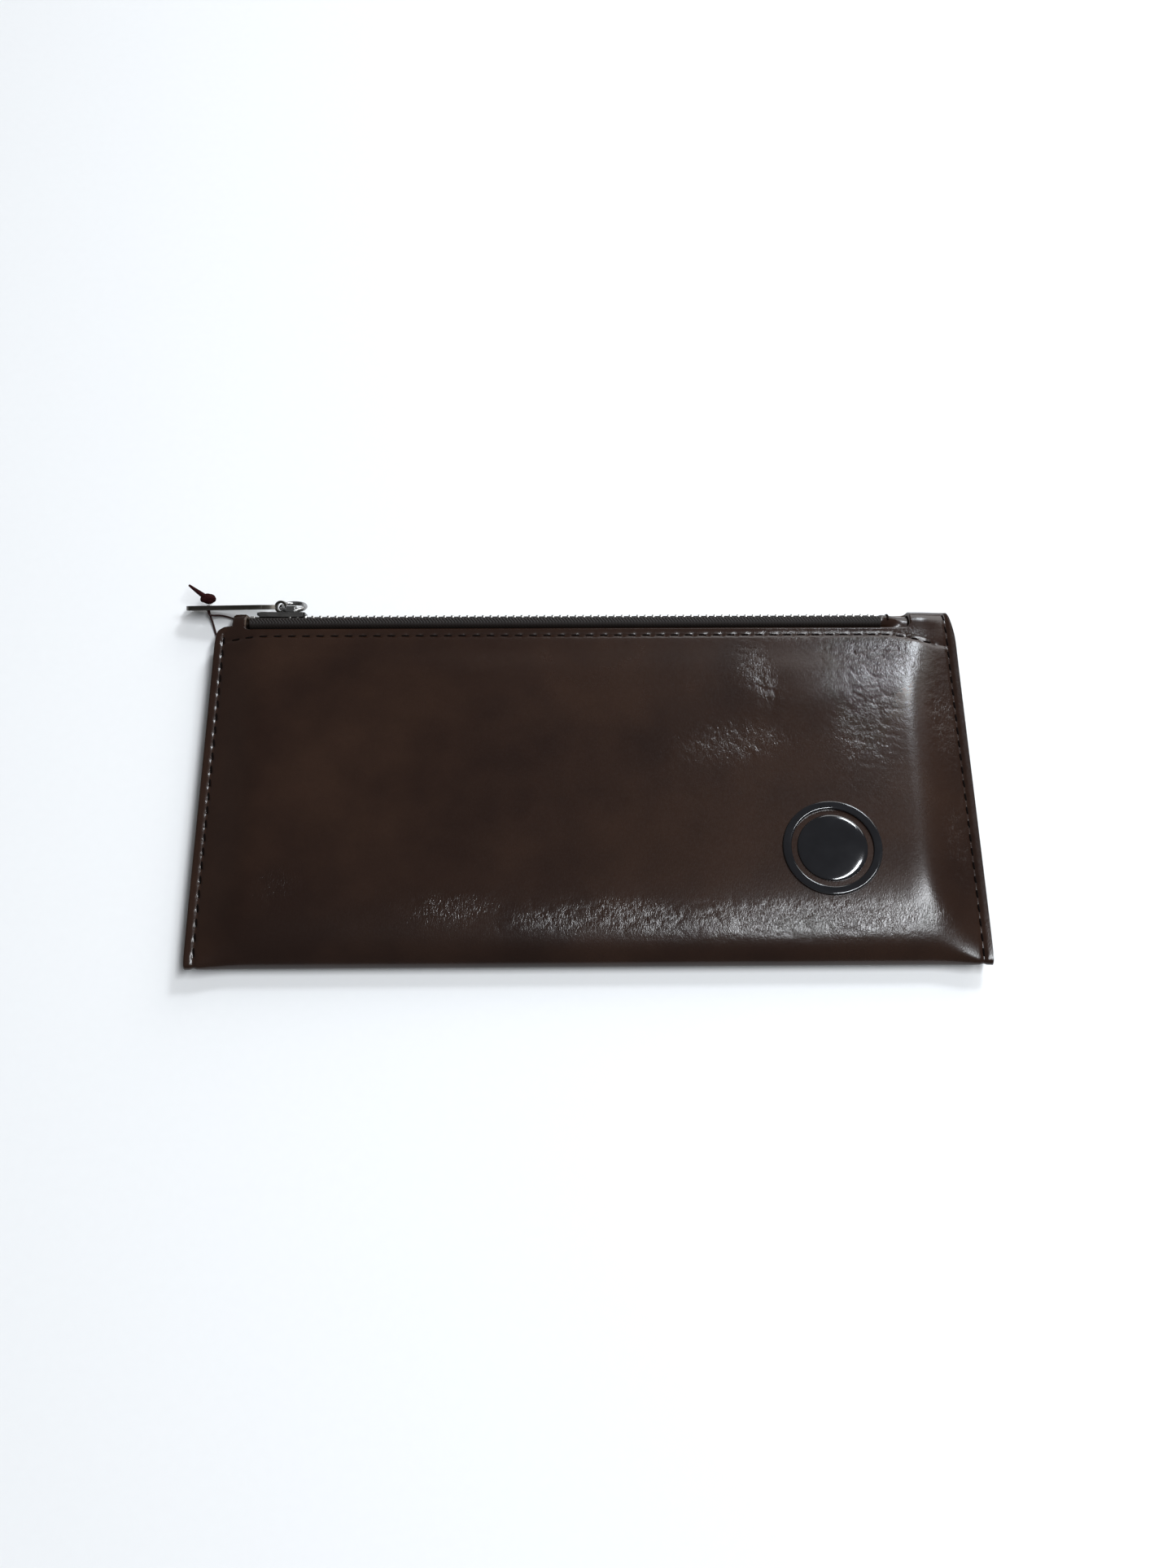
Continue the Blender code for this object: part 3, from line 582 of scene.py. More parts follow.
def woven_material(name, color, specular=0.15):
    """Close weave, dull."""
    made = Shader(name)
    fuzz = made.noise(5200.0, 3.0)
    patch = made.noise(300.0, 3.0)
    shade = made.mix(made.ramp(fuzz, 0.3, 0.7), tuple(c * 0.6 for c in color), color)
    shade = made.mix(made.ramp(patch, 0.4, 0.75, 0.0, 0.3), shade, tuple(c * 1.5 for c in color))
    return made.set(color=shade, roughness=0.6, normal=made.bump(fuzz, 0.00006, 0.6), specular=specular)


def metal_material(name, color, roughness):
    """Plated metal with faint rubbing."""
    made = Shader(name)
    rub = made.noise(700.0, 5.0, made.stretched((1.0, 3.0, 3.0)))
    spots = made.noise(240.0, 4.0)
    shade = made.mix(made.ramp(spots, 0.4, 0.75), color, tuple(c * 0.7 for c in color))
    rough = made.ramp(rub, 0.3, 0.75, roughness, roughness + METAL_WEAR)
    normal = made.bump(rub, 0.00001, 0.25)
    return made.set(color=shade, roughness=rough, metallic=1.0, normal=normal)


def gloss_material(name):
    """Black enamel."""
    made = Shader(name)
    flow = made.noise(180.0, 2.0)
    shade = made.mix(flow, (0.004, 0.004, 0.005), (0.009, 0.009, 0.011))
    rough = made.ramp(flow, 0.3, 0.7, 0.07, 0.13)
    normal = made.bump(flow, 0.0001, 0.15)
    return made.set(color=shade, roughness=rough, normal=normal, coat=0.5, coat_roughness=0.04)


# ---- Camera and the cord come first ----
def camera():
    data = bpy.data.cameras.new("camera")
    data.lens = CAMERA_LENS
    data.sensor_width = 36.0
    data.clip_start = 0.01
    data.clip_end = 20.0
    obj = bpy.data.objects.new("camera", data)
    bpy.context.scene.collection.objects.link(obj)
    look = (CAMERA_TARGET - CAMERA).to_track_quat("-Z", "Y").to_matrix().to_4x4()
    obj.matrix_world = Matrix.Translation(CAMERA * MM) @ look @ Matrix.Rotation(CAMERA_ROLL, 4, "Z")
    bpy.context.scene.camera = obj


def ring_pivot():
    """The middle of the bail, where the ring turns."""
    return Vector((BAIL_X, *chain_point(0.0, RING_PIVOT)))


def droop():
    """The way from the bail to the ring's middle."""
    return Vector((0.0, math.cos(RING_DROOP), math.sin(RING_DROOP)))


def tab_axes():
    """Origin at the ring, then X along the tab, Y across it, Z out of its outer face."""
    origin = ring_pivot() + droop() * RING_RADIUS - Vector((RING_RADIUS, 0, 0))
    across = (TAB_ACROSS - TAB_DIRECTION * TAB_ACROSS.dot(TAB_DIRECTION)).normalized()
    return origin, TAB_DIRECTION, across, TAB_DIRECTION.cross(across)


def at_tab(along, across, out):
    """A point in the tab's own axes."""
    origin, x_axis, y_axis, z_axis = tab_axes()
    return origin + x_axis * along + y_axis * across + z_axis * out


def cord_path():
    """The loop, as in the CAD part: from the knot through the hole, round the pouch's corner and back."""
    out = TAB_THICKNESS / 2
    route = [
        at_tab(TAB_HOLE, -0.5, out + 0.35),
        at_tab(TAB_HOLE, -0.5, 0.0),
        at_tab(TAB_HOLE, -0.55, -out - 0.6),
        at_tab(TAB_HOLE - 0.3, -0.8, -out - 2.0),
        (-103.0, 50.0, 0.9),
        (-102.3, 47.4, 0.5),
        (-101.2, 45.0, 0.4),
        (-99.4, 43.4, 0.38),
        (-97.2, 43.2, 0.38),
        (-95.4, 44.5, 0.38),
        (-94.6, 47.0, 0.38),
        (-94.8, 49.6, 0.4),
        (-96.2, 51.4, 0.55),
        (-98.6, 52.0, 1.1),
        (-101.0, 52.2, 2.2),
        at_tab(TAB_HOLE - 0.6, 0.6, -out - 1.6),
        at_tab(TAB_HOLE, 0.5, -out - 0.5),
        at_tab(TAB_HOLE, 0.5, 0.0),
        at_tab(TAB_HOLE, 0.5, out + 0.35),
    ]
    controls = np.array([tuple(point) for point in route])[None]
    return b_spline(controls, np.linspace(0, len(route) - 1, 240)[None])[0]


def cord():
    material = thread_material("cord_fibre", (0.06, 0.03, 0.028))
    path = cord_path()
    points, faces = ring_tube(path, CORD_RADIUS, 10)
    obj = mesh_object("pull_cord", points, faces, [material])
    fix_normals(obj)
    knot_obj = knot()
    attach(obj, "tab")
    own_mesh(obj)
    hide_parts("cord_loop")


def knot():
    """An overhand knot pulled tight, with its two cut ends."""
    made = Parts()
    centre = np.array(at_tab(TAB_HOLE, 0.0, TAB_THICKNESS / 2 + 2.0))
    _, along, across, out = (np.array(v) for v in tab_axes())
    angle = np.linspace(0, 2 * math.pi, 73)
    for radius, tilt, wire in ((1.5, 0.0, 0.72), (1.3, 1.05, 0.7), (1.2, -1.05, 0.66)):
        u = math.cos(tilt) * across + math.sin(tilt) * out
        wave = 0.35 * np.sin(2 * angle + tilt)
        loop = centre + np.cos(angle)[:, None] * u * radius * 0.62 + np.sin(angle)[:, None] * along * radius
        loop = loop + wave[:, None] * np.cross(u, along)
        made.add(*ring_tube(loop, wire, 10))
    tail = 0.8 * along + 0.1 * across + 0.55 * out
    tail /= np.linalg.norm(tail)
    for lean, reach in ((0.0, 5.6), (0.35, 3.6)):
        s = np.linspace(0, 1, 14)[:, None]
        sideways = across * (lean * s**1.5 * reach * 0.35)
        line = centre + tail * (0.6 + reach * s) + sideways + out * 0.3 * s**2
        made.add(*ring_tube(line, 0.75 - 0.45 * s[:, 0] ** 1.5, 10))
    # Painted shade: the knot's thread is a darker, redder copy of the cord's colour, standing in for the
    # shade inside the tight knot.
    obj = made.build("cord_knot_tied", thread_material("knot_fibre", (0.035, 0.0085, 0.009)))
    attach(obj, "tab")
    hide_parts("cord_knot")
    return obj


# ---- Leather ----
def graded(start, end, coarse, fine_zones, fine):
    """Numbers from start to end, close together inside the fine zones."""
    values = [start]
    while values[-1] < end - 1e-6:
        at = values[-1]
        near = min((max(low - at, at - high, 0.0) for low, high in fine_zones), default=99)
        values.append(min(end, at + min(coarse, fine + near * 0.12)))
    return np.array(values)


def with_values(values, wanted):
    """Moves the nearest number onto each wanted one."""
    for value in wanted:
        values[np.argmin(np.abs(values - value))] = value
    return values


def row_values():
    """t down the section, by arc length half way along the pouch: fine on the front, coarse on the back."""
    t = np.linspace(0, LAST, 4001)
    line = wrap_middle([0.0], t[None])[0]
    arc = np.concatenate([[0], np.cumsum(np.linalg.norm(np.diff(line, axis=0), axis=1))])
    front = np.interp([6.0, 9.0], t, arc)
    bottom = np.interp([17.5], t, arc)[0]
    steps = np.concatenate(
        [
            np.linspace(0, front[0] - 0.5, 34)[:-1],
            np.arange(front[0] - 0.5, front[1], FOLD_STEP),
            np.arange(front[1], bottom, FRONT_STEP),
            np.linspace(bottom, arc[-1], 76),
        ]
    )
    return np.interp(steps, arc, t)


def notch_drop(xs):
    """How far the left side margin's end is rounded off."""
    reach = np.clip((-xs - (HALF_WIDTH - NOTCH_ROUND)), 0, NOTCH_ROUND)
    return NOTCH_ROUND - np.sqrt(np.maximum(NOTCH_ROUND**2 - reach**2, 0))


def slot_edge_drop(xs):
    """How far the slot's edge curves in at its rounded ends."""
    inside = np.minimum(xs - SLOT_X[0], SLOT_X[1] - xs)
    reach = np.clip(SLOT_CORNER - inside, 0, SLOT_CORNER)
    arc = SLOT_CORNER - np.sqrt(np.maximum(SLOT_CORNER**2 - reach**2, 0))
    return np.where(inside >= 0, arc, SLOT_CORNER * np.clip(1 + inside / 3, 0, 1))


def leather_grid():
    """Columns, rows of t, and which quads are leather: all but the zip's slot and the corner's notch."""
    fine_zones = [(-100.5, -95.5), (-93.5, -89.5), (85.5, 89.0), (95.5, 100.5)]
    xs = graded(-HALF_WIDTH, HALF_WIDTH, SHEET_STEP, fine_zones, 0.28)
    xs = with_values(xs, (NOTCH[0], *SLOT_X))
    base = row_values()
    drop = slot_edge_drop(xs)
    # Cut edges that the grid follows: axis, value, from t, to t, how far the edge bends at each x
    marks = []
    for axis, value, low, high, extra in (
        (1, NOTCH[1], 0.5, 3.0, -notch_drop(xs)),
        (2, SLOT_BACK_Z, 3.0, 5.2, drop * 0.6),
        (1, NOTCH[1], 5.0, 7.9, -notch_drop(xs)),
        (1, SLOT_FRONT_Y, 6.2, 8.4, drop),
        (1, NOTCH[1], 22.0, 24.6, -notch_drop(xs)),
    ):
        at = crossing([0.0], axis, value, low, high)[0]
        marks.append((at, crossing(xs, axis, value + extra, low, high)))
    # Each column's t is stretched so that its rows meet the edges
    base = with_values(base, [at for at, _ in marks])
    anchors = np.array([0.0] + [at for at, _ in marks[:4]] + [STEADY_T, marks[4][0], LAST])
    t = np.empty((len(xs), len(base)))
    for i in range(len(xs)):
        places = [0.0] + [found[i] for _, found in marks[:4]] + [STEADY_T, marks[4][1][i], LAST]
        t[i] = np.interp(base, anchors, np.maximum.accumulate(places))
    rows = [int(np.argmin(np.abs(base - at))) for at, _ in marks]
    flap, slot_back, fold, slot_front, back = rows
    column = np.arange(len(xs) - 1)[:, None]
    row = np.arange(len(base) - 1)[None]
    left, right = (int(np.argmin(np.abs(xs - x))) for x in SLOT_X)
    notch = int(np.argmin(np.abs(xs - NOTCH[0])))
    in_slot = (column >= left) & (column < right) & (row >= slot_back) & (row < slot_front)
    in_notch = (column < notch) & (((row >= flap) & (row < fold)) | (row >= back))
    return xs, t, ~(in_slot | in_notch)


def on_boundary(keep):
    """Which grid points are on the edge of the leather."""
    padded = np.pad(keep, 1).astype(float)
    around = padded[:-1, :-1] + padded[1:, :-1] + padded[:-1, 1:] + padded[1:, 1:]
    return (around > 0) & (around < 4)


def leather():
    """The whole sheet: grain side, flesh side, painted edges and the raw edges of the slot."""
    xs, t, keep = leather_grid()
    outer, normal, middle = surface(xs, t)
    edge = on_boundary(keep)[:, :, None]
    outer = outer - normal * EDGE_ROUND * edge
    inner = middle - normal * (LEATHER / 2 - EDGE_ROUND * 0.5 * edge)
    rows, columns = t.shape
    used = np.concatenate([outer.reshape(-1, 3), inner.reshape(-1, 3)])
    faces_out, faces_in, walls = shell_faces(rows, columns, keep)
    faces = np.concatenate([faces_out, faces_in, walls])
    skin = leather_material("outer_leather", (0.0135, 0.0052, 0.0028), (0.0245, 0.0108, 0.006))
    flesh = woven_material("leather_flesh", (0.05, 0.032, 0.022))
    painted = cut_edge_material("leather_edge_paint", (0.02, 0.012, 0.009), 0.3)
    raw = cut_edge_material("leather_raw_edge", (0.16, 0.11, 0.08), 0.6)
    at = used[walls].mean(axis=1)
    in_slot = (at[:, 0] > SLOT_X[0] - 0.1) & (at[:, 0] < SLOT_X[1] + 0.1) & (at[:, 1] > 40)
    in_slot &= at[:, 2] > 2.8
    index = np.concatenate([np.zeros(len(faces_out)), np.ones(len(faces_in)), np.where(in_slot, 3, 2)])
    remap = np.full(len(used), -1)
    kept = np.unique(faces)
    remap[kept] = np.arange(len(kept))
    obj = mesh_object("leather_cover", used[kept], remap[faces], [skin, flesh, painted, raw], index)
    crumple = np.zeros(len(used))
    grid_t = np.concatenate([t.ravel(), t.ravel()])
    front = (grid_t > FRONT_T[0]) & (grid_t < FRONT_T[1])
    crumple[front] = crumple_mask(used[front, 0], used[front, 1])
    attribute = obj.data.attributes.new("crumple", "FLOAT", "POINT")
    attribute.data.foreach_set("value", crumple[kept].astype(np.float32))
    fix_normals(obj)
    sharp_by_angle(obj, 50)
    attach(obj, "pouch")
    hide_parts("leather_wrap")
    return skin


# ---- Sewing ----
def stitches(made, xs, ts):
    """Separate stitches down a line of (x, t) on the leather, their ends pulled into the needle holes."""
    xs, ts = np.asarray(xs, float), np.asarray(ts, float)
    line, normal, _ = surface(xs, ts[:, None])
    line, normal = line[:, 0], normal[:, 0]
    arc = np.concatenate([[0], np.cumsum(np.linalg.norm(np.diff(line, axis=0), axis=1))])
    at = STITCH_PITCH / 2
    while at + STITCH_PITCH / 2 < arc[-1]:
        s = np.linspace(-1, 1, 11)
        places = at + s * STITCH / 2
        slant = STITCH_SLANT * s * RNG.uniform(0.5, 1.2)
        centre = np.stack([np.interp(places, arc, line[:, k]) for k in range(3)], axis=1)
        up = np.stack([np.interp(places, arc, normal[:, k]) for k in range(3)], axis=1)
        side = np.cross(up, np.gradient(centre, axis=0))
        side /= np.linalg.norm(side, axis=1, keepdims=True)
        height = -STITCH_SINK - STITCH_DIP * np.abs(s) ** 4
        path = centre + up * height[:, None] + side * slant[:, None]
        made.add(*ring_tube(path, STITCH_RADIUS * (1 - 0.25 * s**4), 7))
        at += STITCH_PITCH


def stitch_rows():
    thread = thread_material("seam_thread", (0.004, 0.0022, 0.0018))
    for name, (side, start, end) in SEAMS_T.items():
        x = np.full(400, side * (HALF_WIDTH - SIDE_ROW))
        made = Parts()
        stitches(made, x, np.linspace(start, ROLL_T[0], 400))
        stitches(made, x, np.linspace(ROLL_T[1], end, 400))
        obj = made.build(name + "_seam_stitches", thread)
        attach(obj, "pouch")
        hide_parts(name + "_seam_thread")
    reach = HALF_WIDTH - SIDE_ROW - 1.6
    xs = np.linspace(-reach, reach, 700)
    made = Parts()
    stitches(made, xs, crossing(xs, 1, row_y(xs), 6.8, 9.6))
    obj = made.build("front_row_stitches", thread)
    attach(obj, "pouch")
    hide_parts("front_row_thread")


# ---- Zip ----
def tape_path(side, xs):
    """Control points across a tape at each x: its bend beside the chain, then its tucked part."""
    bend = TAPE_BEND
    turned_points = [
        (side * (TAPE_EDGE - 0.5), 0.0),
        (side * TAPE_EDGE, 0.0),
        (side * (bend - 0.7), 0.0),
        (side * (bend - 0.15), -0.15),
        (side * bend, -0.7),
        (side * (bend + 0.05), -1.6),
    ]
    rows = [np.tile(chain_point(across, out), (len(xs), 1)) for across, out in turned_points]
    if side < 0:
        inward = (LEATHER + TAPE) / 2 + FRONT_TAPE_GAP
        rows += [np.tile((SLOT_FRONT_Y + beyond, z), (len(xs), 1)) for beyond, z in TAPE_PAST_LIP]
        ys, low, high = FRONT_TAPE_Y, 7.0, 11.0
    else:
        inward = (LEATHER + TAPE) / 2 + FLAP_TAPE_GAP
        ys, low, high = FLAP_TAPE_Y, 0.0, 3.0
    for y in ys:
        t = crossing(xs, 1, y, low, high)[:, None]
        middle = wrap_middle(xs, t)[:, 0]
        along = (wrap_middle(xs, t + 0.02) - wrap_middle(xs, t - 0.02))[:, 0]
        move = np.stack([-along[:, 2], along[:, 1]], axis=1)
        move /= np.linalg.norm(move, axis=1, keepdims=True)
        rows.append(middle[:, 1:] + move * inward)
    yz = np.stack(rows, axis=1)
    x = np.broadcast_to(xs[:, None, None], (*yz.shape[:2], 1))
    return np.concatenate([x, yz], axis=2)


def tape(name, side, cad_node, slot):
    """A twill tape with ribs as relief, and the bead that its teeth grip."""
    xs = np.arange(TAPE_X[0], TAPE_X[1] + TAPE_UNDER_TAB, TAPE_STEP)
    controls = tape_path(side, xs)
    count = controls.shape[1] - 1
    t = np.concatenate([np.linspace(0, 6.5, 44), np.linspace(6.5, count, 14)[1:]])
    middle = b_spline(controls, np.tile(t, (len(xs), 1)))
    along = np.gradient(middle, axis=1)
    normal = np.cross(along, np.gradient(middle, axis=0))
    normal /= np.linalg.norm(normal, axis=2, keepdims=True)
    arc = np.concatenate([[0], np.cumsum(np.linalg.norm(np.diff(middle[0], axis=0), axis=1))])
    ribs = xs[:, None] / TWILL_PITCH + TWILL_LEAN * np.abs(((arc / TWILL_TURN) % 1) - 0.5) * 2
    relief = TWILL_DEPTH * np.abs(np.sin(math.pi * ribs))[:, :, None]
    high = middle + normal * (TAPE / 2 - TWILL_DEPTH + relief)
    low = middle - normal * (TAPE / 2 - TWILL_DEPTH + relief)
    keep = np.ones((len(xs) - 1, len(t) - 1), bool)
    outer, inner, walls = shell_faces(len(xs), len(t), keep)
    points = np.concatenate([high.reshape(-1, 3), low.reshape(-1, 3)])
    made = Parts()
    made.add(points, np.concatenate([outer, inner, walls]).tolist())
    bead = [(x, *chain_point(side * BEAD_ACROSS, 0.0)) for x in np.arange(TAPE_X[0], TAPE_X[1], 0.25)]
    made.add(*ring_tube(bead, BEAD_RADIUS, 10))
    obj = made.build(name, woven_material(slot, (0.011, 0.007, 0.0055), 0.3))
    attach(obj, "pouch")
    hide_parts(cad_node)


def tooth_shape(side):
    """One tooth: two legs round the bead, and a cupped head past the middle."""
    bm = bmesh.new()
    bmesh.ops.create_cube(bm, size=1.0)
    low, high = -TOOTH_REACH, TOOTH_LEGS
    bmesh.ops.scale(bm, vec=(TOOTH_WIDTH, high - low, TOOTH_THICKNESS), verts=bm.verts)
    bmesh.ops.translate(bm, vec=(0.0, (low + high) / 2, 0.0), verts=bm.verts)
    for vert in bm.verts:
        if vert.co.y < 0:
            vert.co.z *= 0.8
            vert.co.x *= 0.86
    bmesh.ops.bevel(bm, geom=bm.edges[:], offset=TOOTH_BEVEL, segments=2, affect="EDGES", profile=0.5)
    bm.verts.index_update()
    points = np.array([vert.co for vert in bm.verts])
    faces = [[vert.index for vert in face.verts] for face in bm.faces]
    bm.free()
    points[:, 1] *= side
    return points, faces


def on_chain(points, x):
    """Moves points from the zip's own axes into place."""
    y, z = chain_point(points[:, 1], points[:, 2])
    return np.stack([points[:, 0] + x, y, z], axis=1)


def teeth(name, side, offset, cad_node, slot):
    """A row of separate teeth."""
    made = Parts()
    points, faces = tooth_shape(side)
    x = CHAIN_X[0] + offset + TOOTH_WIDTH / 2
    while x + TOOTH_WIDTH / 2 < CHAIN_X[1]:
        made.add(on_chain(points, x), faces)
        x += TOOTH_PITCH
    obj = made.build(name, metal_material(slot, (0.62, 0.6, 0.56), 0.24))
    sharp_by_angle(obj, 45)
    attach(obj, "pouch")
    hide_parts(cad_node)


def refined(cad_node, body, material, width, segments=3):
    """A CAD node's own shape with its faces joined again and its edges rounded."""
    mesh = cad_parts[cad_node].data.copy()
    bm = bmesh.new()
    bm.from_mesh(mesh)
    bmesh.ops.remove_doubles(bm, verts=bm.verts, dist=WELD * MM)
    bmesh.ops.dissolve_limit(bm, angle_limit=math.radians(3), verts=bm.verts, edges=bm.edges)
    bm.to_mesh(mesh)
    bm.free()
    mesh.materials.clear()
    mesh.materials.append(material)
    for polygon in mesh.polygons:
        polygon.use_smooth = True
    obj = bpy.data.objects.new(cad_node + "_shown", mesh)
    bpy.context.scene.collection.objects.link(obj)
    bevel = obj.modifiers.new("Bevel", "BEVEL")
    bevel.width = width * MM
    bevel.segments = segments
    bevel.limit_method = "ANGLE"
    bevel.angle_limit = math.radians(28)
    flat = obj.modifiers.new("Flat faces", "WEIGHTED_NORMAL")
    flat.weight = 100
    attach(obj, body)
    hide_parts(cad_node)


def zip_parts():
    tape("front_tape_twill", -1, "front_tape", "front_tape_twill")
    tape("back_tape_twill", 1, "back_tape", "back_tape_twill")
    teeth("front_teeth_row", -1, FIRST_TOOTH, "front_teeth", "front_teeth_metal")
    teeth("back_teeth_row", 1, FIRST_TOOTH + TOOTH_PITCH / 2, "back_teeth", "back_teeth_metal")
    stop = metal_material("stop_metal", (0.55, 0.53, 0.5), 0.28)
    for node in ("top_stop_front", "top_stop_back", "bottom_stop"):
        refined(node, "pouch", stop, 0.25)
    shell = metal_material("slider_metal", (0.09, 0.086, 0.082), 0.3)
    refined("slider_body", "slider", shell, 0.22)
    bail = metal_material("bail_metal", (0.3, 0.295, 0.29), 0.18)
    refined("slider_bail", "slider", bail, 0.22)
    tab = metal_material("tab_metal", (0.085, 0.077, 0.066), 0.3)
    refined("pull_tab", "tab", tab, 0.14, 2)
    ring()


def ring():
    bpy.ops.mesh.primitive_torus_add(
        major_radius=RING_RADIUS * MM, minor_radius=RING_WIRE * MM, major_segments=96, minor_segments=20
    )
    obj = bpy.context.object
    obj.name = "pull_ring_round"
    for polygon in obj.data.polygons:
        polygon.use_smooth = True
    out = droop()
    x_axis = Vector((1, 0, 0))
    place = Matrix((x_axis, out, x_axis.cross(out))).transposed().to_4x4()
    place.translation = (ring_pivot() + out * RING_RADIUS) * MM
    obj.data.transform(place)
    obj.data.materials.append(metal_material("ring_metal", (0.3, 0.295, 0.29), 0.16))
    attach(obj, "ring")
    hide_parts("pull_ring")


# ---- Emblem, end tab, lining ----
def lathe(name, profile, place, material, cad_node):
    """A profile of (radius, height) turned about the place's own Z."""
    sides = 128
    angle = 2 * math.pi * np.arange(sides) / sides
    circle = np.stack([np.cos(angle), np.sin(angle)], axis=1)
    rings = [np.column_stack([radius * circle, np.full(sides, height)]) for radius, height in profile]
    faces = []
    for ring_index in range(len(profile) - 1):
        for k in range(sides):
            a, b = ring_index * sides + k, ring_index * sides + (k + 1) % sides
            faces.append((a, b, b + sides, a + sides))
    points = np.array([tuple(place @ Vector(p)) for p in np.concatenate(rings)])
    obj = mesh_object(name, points, faces, [material])
    bm = bmesh.new()
    bm.from_mesh(obj.data)
    bmesh.ops.remove_doubles(bm, verts=bm.verts, dist=0.000002)
    bmesh.ops.recalc_face_normals(bm, faces=bm.faces)
    bm.to_mesh(obj.data)
    bm.free()
    sharp_by_angle(obj, 50)
    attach(obj, "pouch")
    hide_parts(cad_node)


def rounded_profile(inner, outer, low, high, roundness):
    """Half section of a ring with rounded top edges, from inner bottom to outer bottom and back."""
    profile = [(inner, low)]
    for corner, sign in ((inner + roundness, -1), (outer - roundness, 1)):
        for a in np.linspace(0, math.pi / 2, 7)[::-sign]:
            rise = roundness * math.sin(a) - roundness
            profile.append((corner + sign * roundness * math.cos(a), high + rise))
    profile += [(outer, low), (inner, low)]
    return profile


def emblem():
    """A plain round boss in a plain ring, square to the leather."""
    x, y = EMBLEM
    t = crossing(np.array([x]), 1, y, 10.0, 15.0)
    middle = wrap_middle([x], t[:, None])[0, 0]
    ahead = wrap_middle([x], t[:, None] - 0.3)[0, 0]
    behind = wrap_middle([x], t[:, None] + 0.3)[0, 0]
    y_axis = Vector(ahead - behind).normalized()
    x_axis = Vector((1, 0, 0))
    out = x_axis.cross(y_axis)
    place = Matrix((x_axis, y_axis, out)).transposed().to_4x4()
    place.translation = Vector(middle) + out * (LEATHER / 2 + EMBLEM_GAP)
    outer, inner, boss = EMBLEM_RADII
    gloss = gloss_material("emblem_gloss")
    ring_profile = rounded_profile(inner, outer, EMBLEM_FOOT, EMBLEM_RING_TOP, EMBLEM_RING_ROUND)
    lathe("emblem_ring_gloss", ring_profile, place, gloss, "emblem_ring")
    dome = [(1e-4, EMBLEM_FOOT), (boss, EMBLEM_FOOT)]
    flat = boss - DOME_ROUND
    for share in np.linspace(0, 1, 15):
        a = math.pi / 2 * share
        radius = flat * (1 - share**3) + DOME_ROUND * math.cos(a)
        dome.append((radius, DOME_EDGE + DOME_RISE * math.sin(a)))
    dome[-1] = (1e-4, dome[-1][1])
    lathe("emblem_boss_gloss", dome, place, gloss, "emblem_boss")


def softened(cad_node, material, name, levels=2):
    """A CAD sheet rounded by subdivision."""
    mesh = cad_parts[cad_node].data.copy()
    bm = bmesh.new()
    bm.from_mesh(mesh)
    bmesh.ops.remove_doubles(bm, verts=bm.verts, dist=WELD * MM)
    bmesh.ops.join_triangles(
        bm, faces=bm.faces, angle_face_threshold=math.radians(60), angle_shape_threshold=math.radians(60)
    )
    bm.to_mesh(mesh)
    bm.free()
    mesh.materials.clear()
    mesh.materials.append(material)
    for polygon in mesh.polygons:
        polygon.use_smooth = True
    obj = bpy.data.objects.new(name, mesh)
    bpy.context.scene.collection.objects.link(obj)
    subsurf = obj.modifiers.new("Subsurf", "SUBSURF")
    subsurf.levels = levels
    subsurf.render_levels = levels
    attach(obj, "pouch")
    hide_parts(cad_node)
    return obj


def tab_seam(end_tab, thread):
    """The end tab's thread, laid on its face: found by looking in from all round the zip."""
    bpy.context.view_layer.update()
    shape = end_tab.evaluated_get(bpy.context.evaluated_depsgraph_get())
    centre = Vector((TAB_SEAM_X, *TAB_SEAM_CENTRE)) * MM
    path = []
    for degrees in range(100, -16, -4):
        way = Vector((0.0, math.cos(math.radians(degrees)), math.sin(math.radians(degrees))))
        found, place, _, _ = shape.ray_cast(centre + way * 0.02, -way)
        if found:
            path.append((place + way * STITCH_RADIUS * 0.3 * MM) / MM)
    points, faces = ring_tube([tuple(point) for point in path], STITCH_RADIUS, 10)
    obj = mesh_object("end_tab_stitch", points, faces, [thread])
    fix_normals(obj)
    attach(obj, "pouch")
    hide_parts("end_tab_thread")


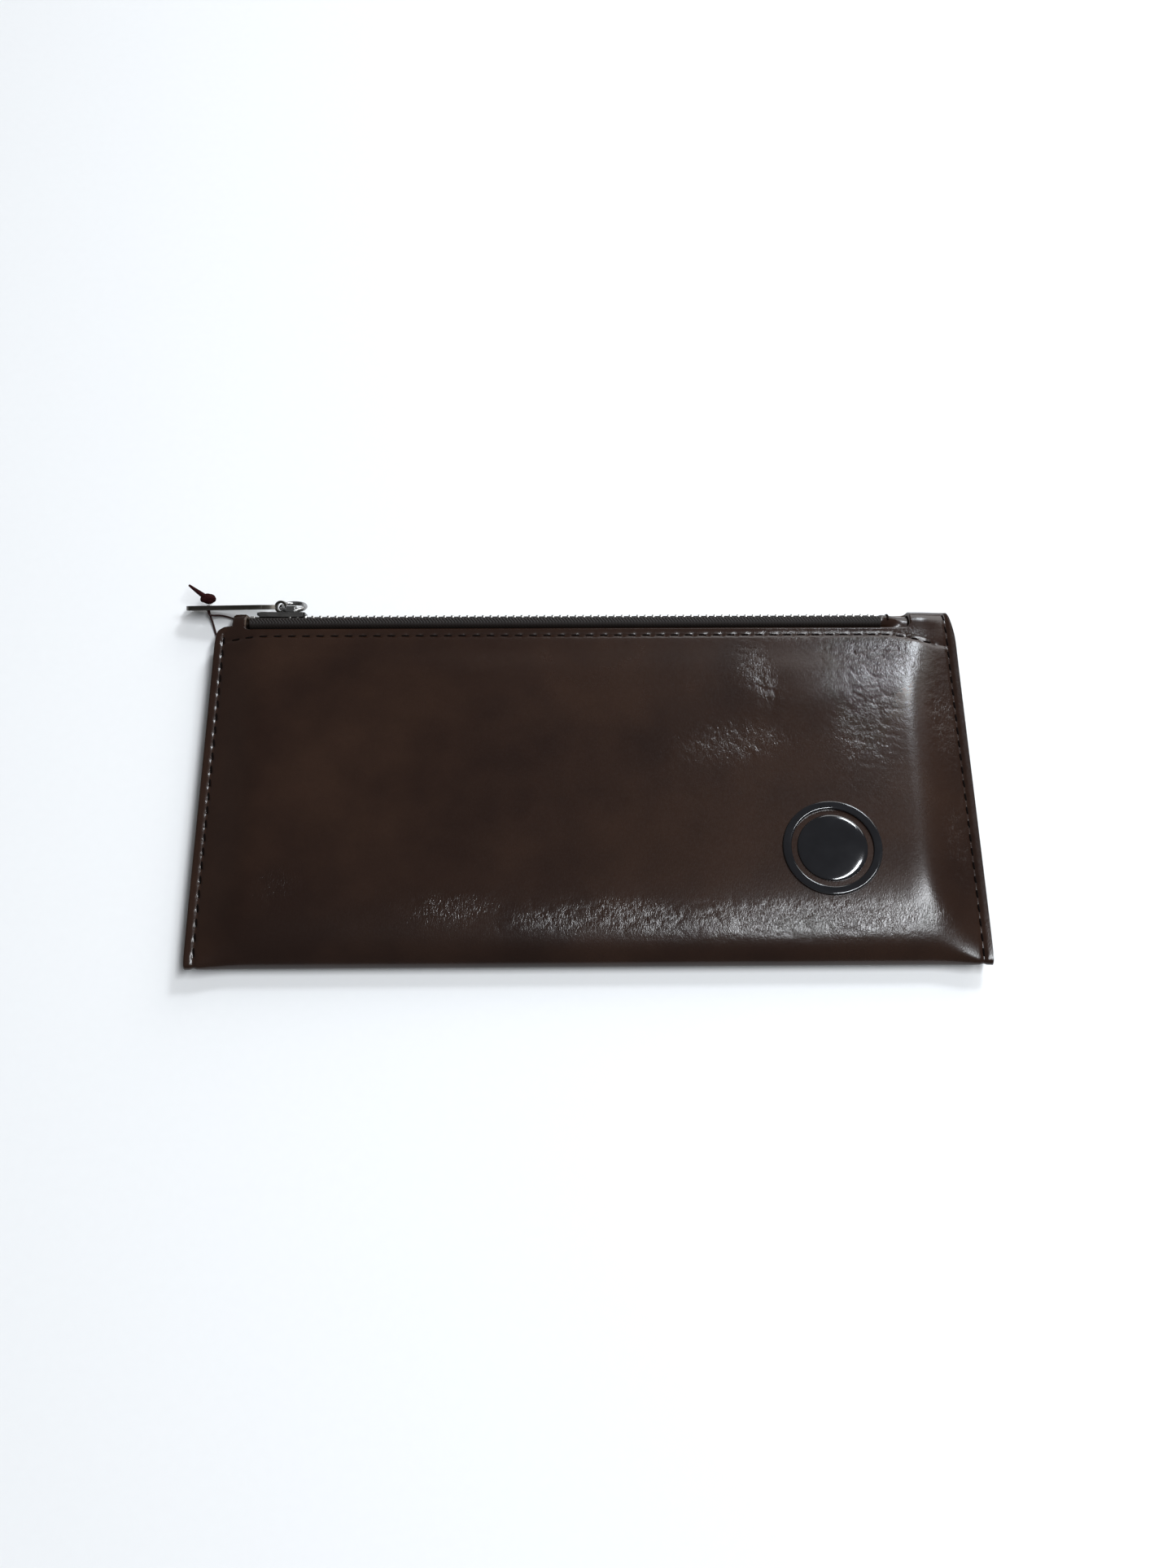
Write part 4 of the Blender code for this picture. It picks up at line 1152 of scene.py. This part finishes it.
def inner_parts(skin):
    """End tab, lining, the tab's thread, and the row inside the back, which keeps its CAD shape."""
    end_tab = softened("zip_end_tab", skin, "end_tab_folded")
    fabric = woven_material("lining_fabric", (0.035, 0.028, 0.024))
    softened("lining", fabric, "lining_bag", 1)
    thread = thread_material("tab_thread", (0.012, 0.007, 0.005))
    tab_seam(end_tab, thread)
    hidden_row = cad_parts["back_row_thread"]
    hidden_row.data.materials.clear()
    hidden_row.data.materials.append(thread)


# ---- Floor and light ----
def floor():
    bpy.ops.mesh.primitive_plane_add(size=6.0)
    obj = bpy.context.object
    obj.name = "floor"
    obj.location.z = -0.00005
    made = Shader("floor_paper")
    shade = made.mix(made.noise(400.0, 2.0), (0.86, 0.86, 0.86), (0.88, 0.88, 0.88))
    obj.data.materials.append(made.set(color=shade, roughness=0.6, specular=0.2))


def area_light(name, direction, distance, size, power, color):
    data = bpy.data.lights.new(name, "AREA")
    data.shape = "RECTANGLE"
    data.size, data.size_y = size
    data.energy = power
    data.color = color
    obj = bpy.data.objects.new(name, data)
    bpy.context.scene.collection.objects.link(obj)
    way = Vector(direction).normalized()
    obj.location = way * distance
    obj.rotation_mode = "QUATERNION"
    obj.rotation_quaternion = way.to_track_quat("Z", "Y")


def lights():
    world = bpy.data.worlds.new("studio")
    world.use_nodes = True
    background = world.node_tree.nodes["Background"]
    background.inputs["Color"].default_value = (0.95, 0.97, 1.0, 1.0)
    # The backdrop seen past the floor is white, while the light it sheds stays low
    seen = world.node_tree.nodes.new("ShaderNodeLightPath").outputs["Is Camera Ray"]
    strength = world.node_tree.nodes.new("ShaderNodeMapRange")
    strength.inputs["To Min"].default_value = WORLD_LIGHT
    strength.inputs["To Max"].default_value = WORLD_SEEN
    world.node_tree.links.new(seen, strength.inputs["Value"])
    world.node_tree.links.new(strength.outputs["Result"], background.inputs["Strength"])
    bpy.context.scene.world = world
    for name, settings in LIGHTS.items():
        area_light(name, *settings)
    bpy.context.scene.view_settings.view_transform = "Standard"


camera()
cord()
skin = leather()
stitch_rows()
zip_parts()
emblem()
inner_parts(skin)
floor()
lights()
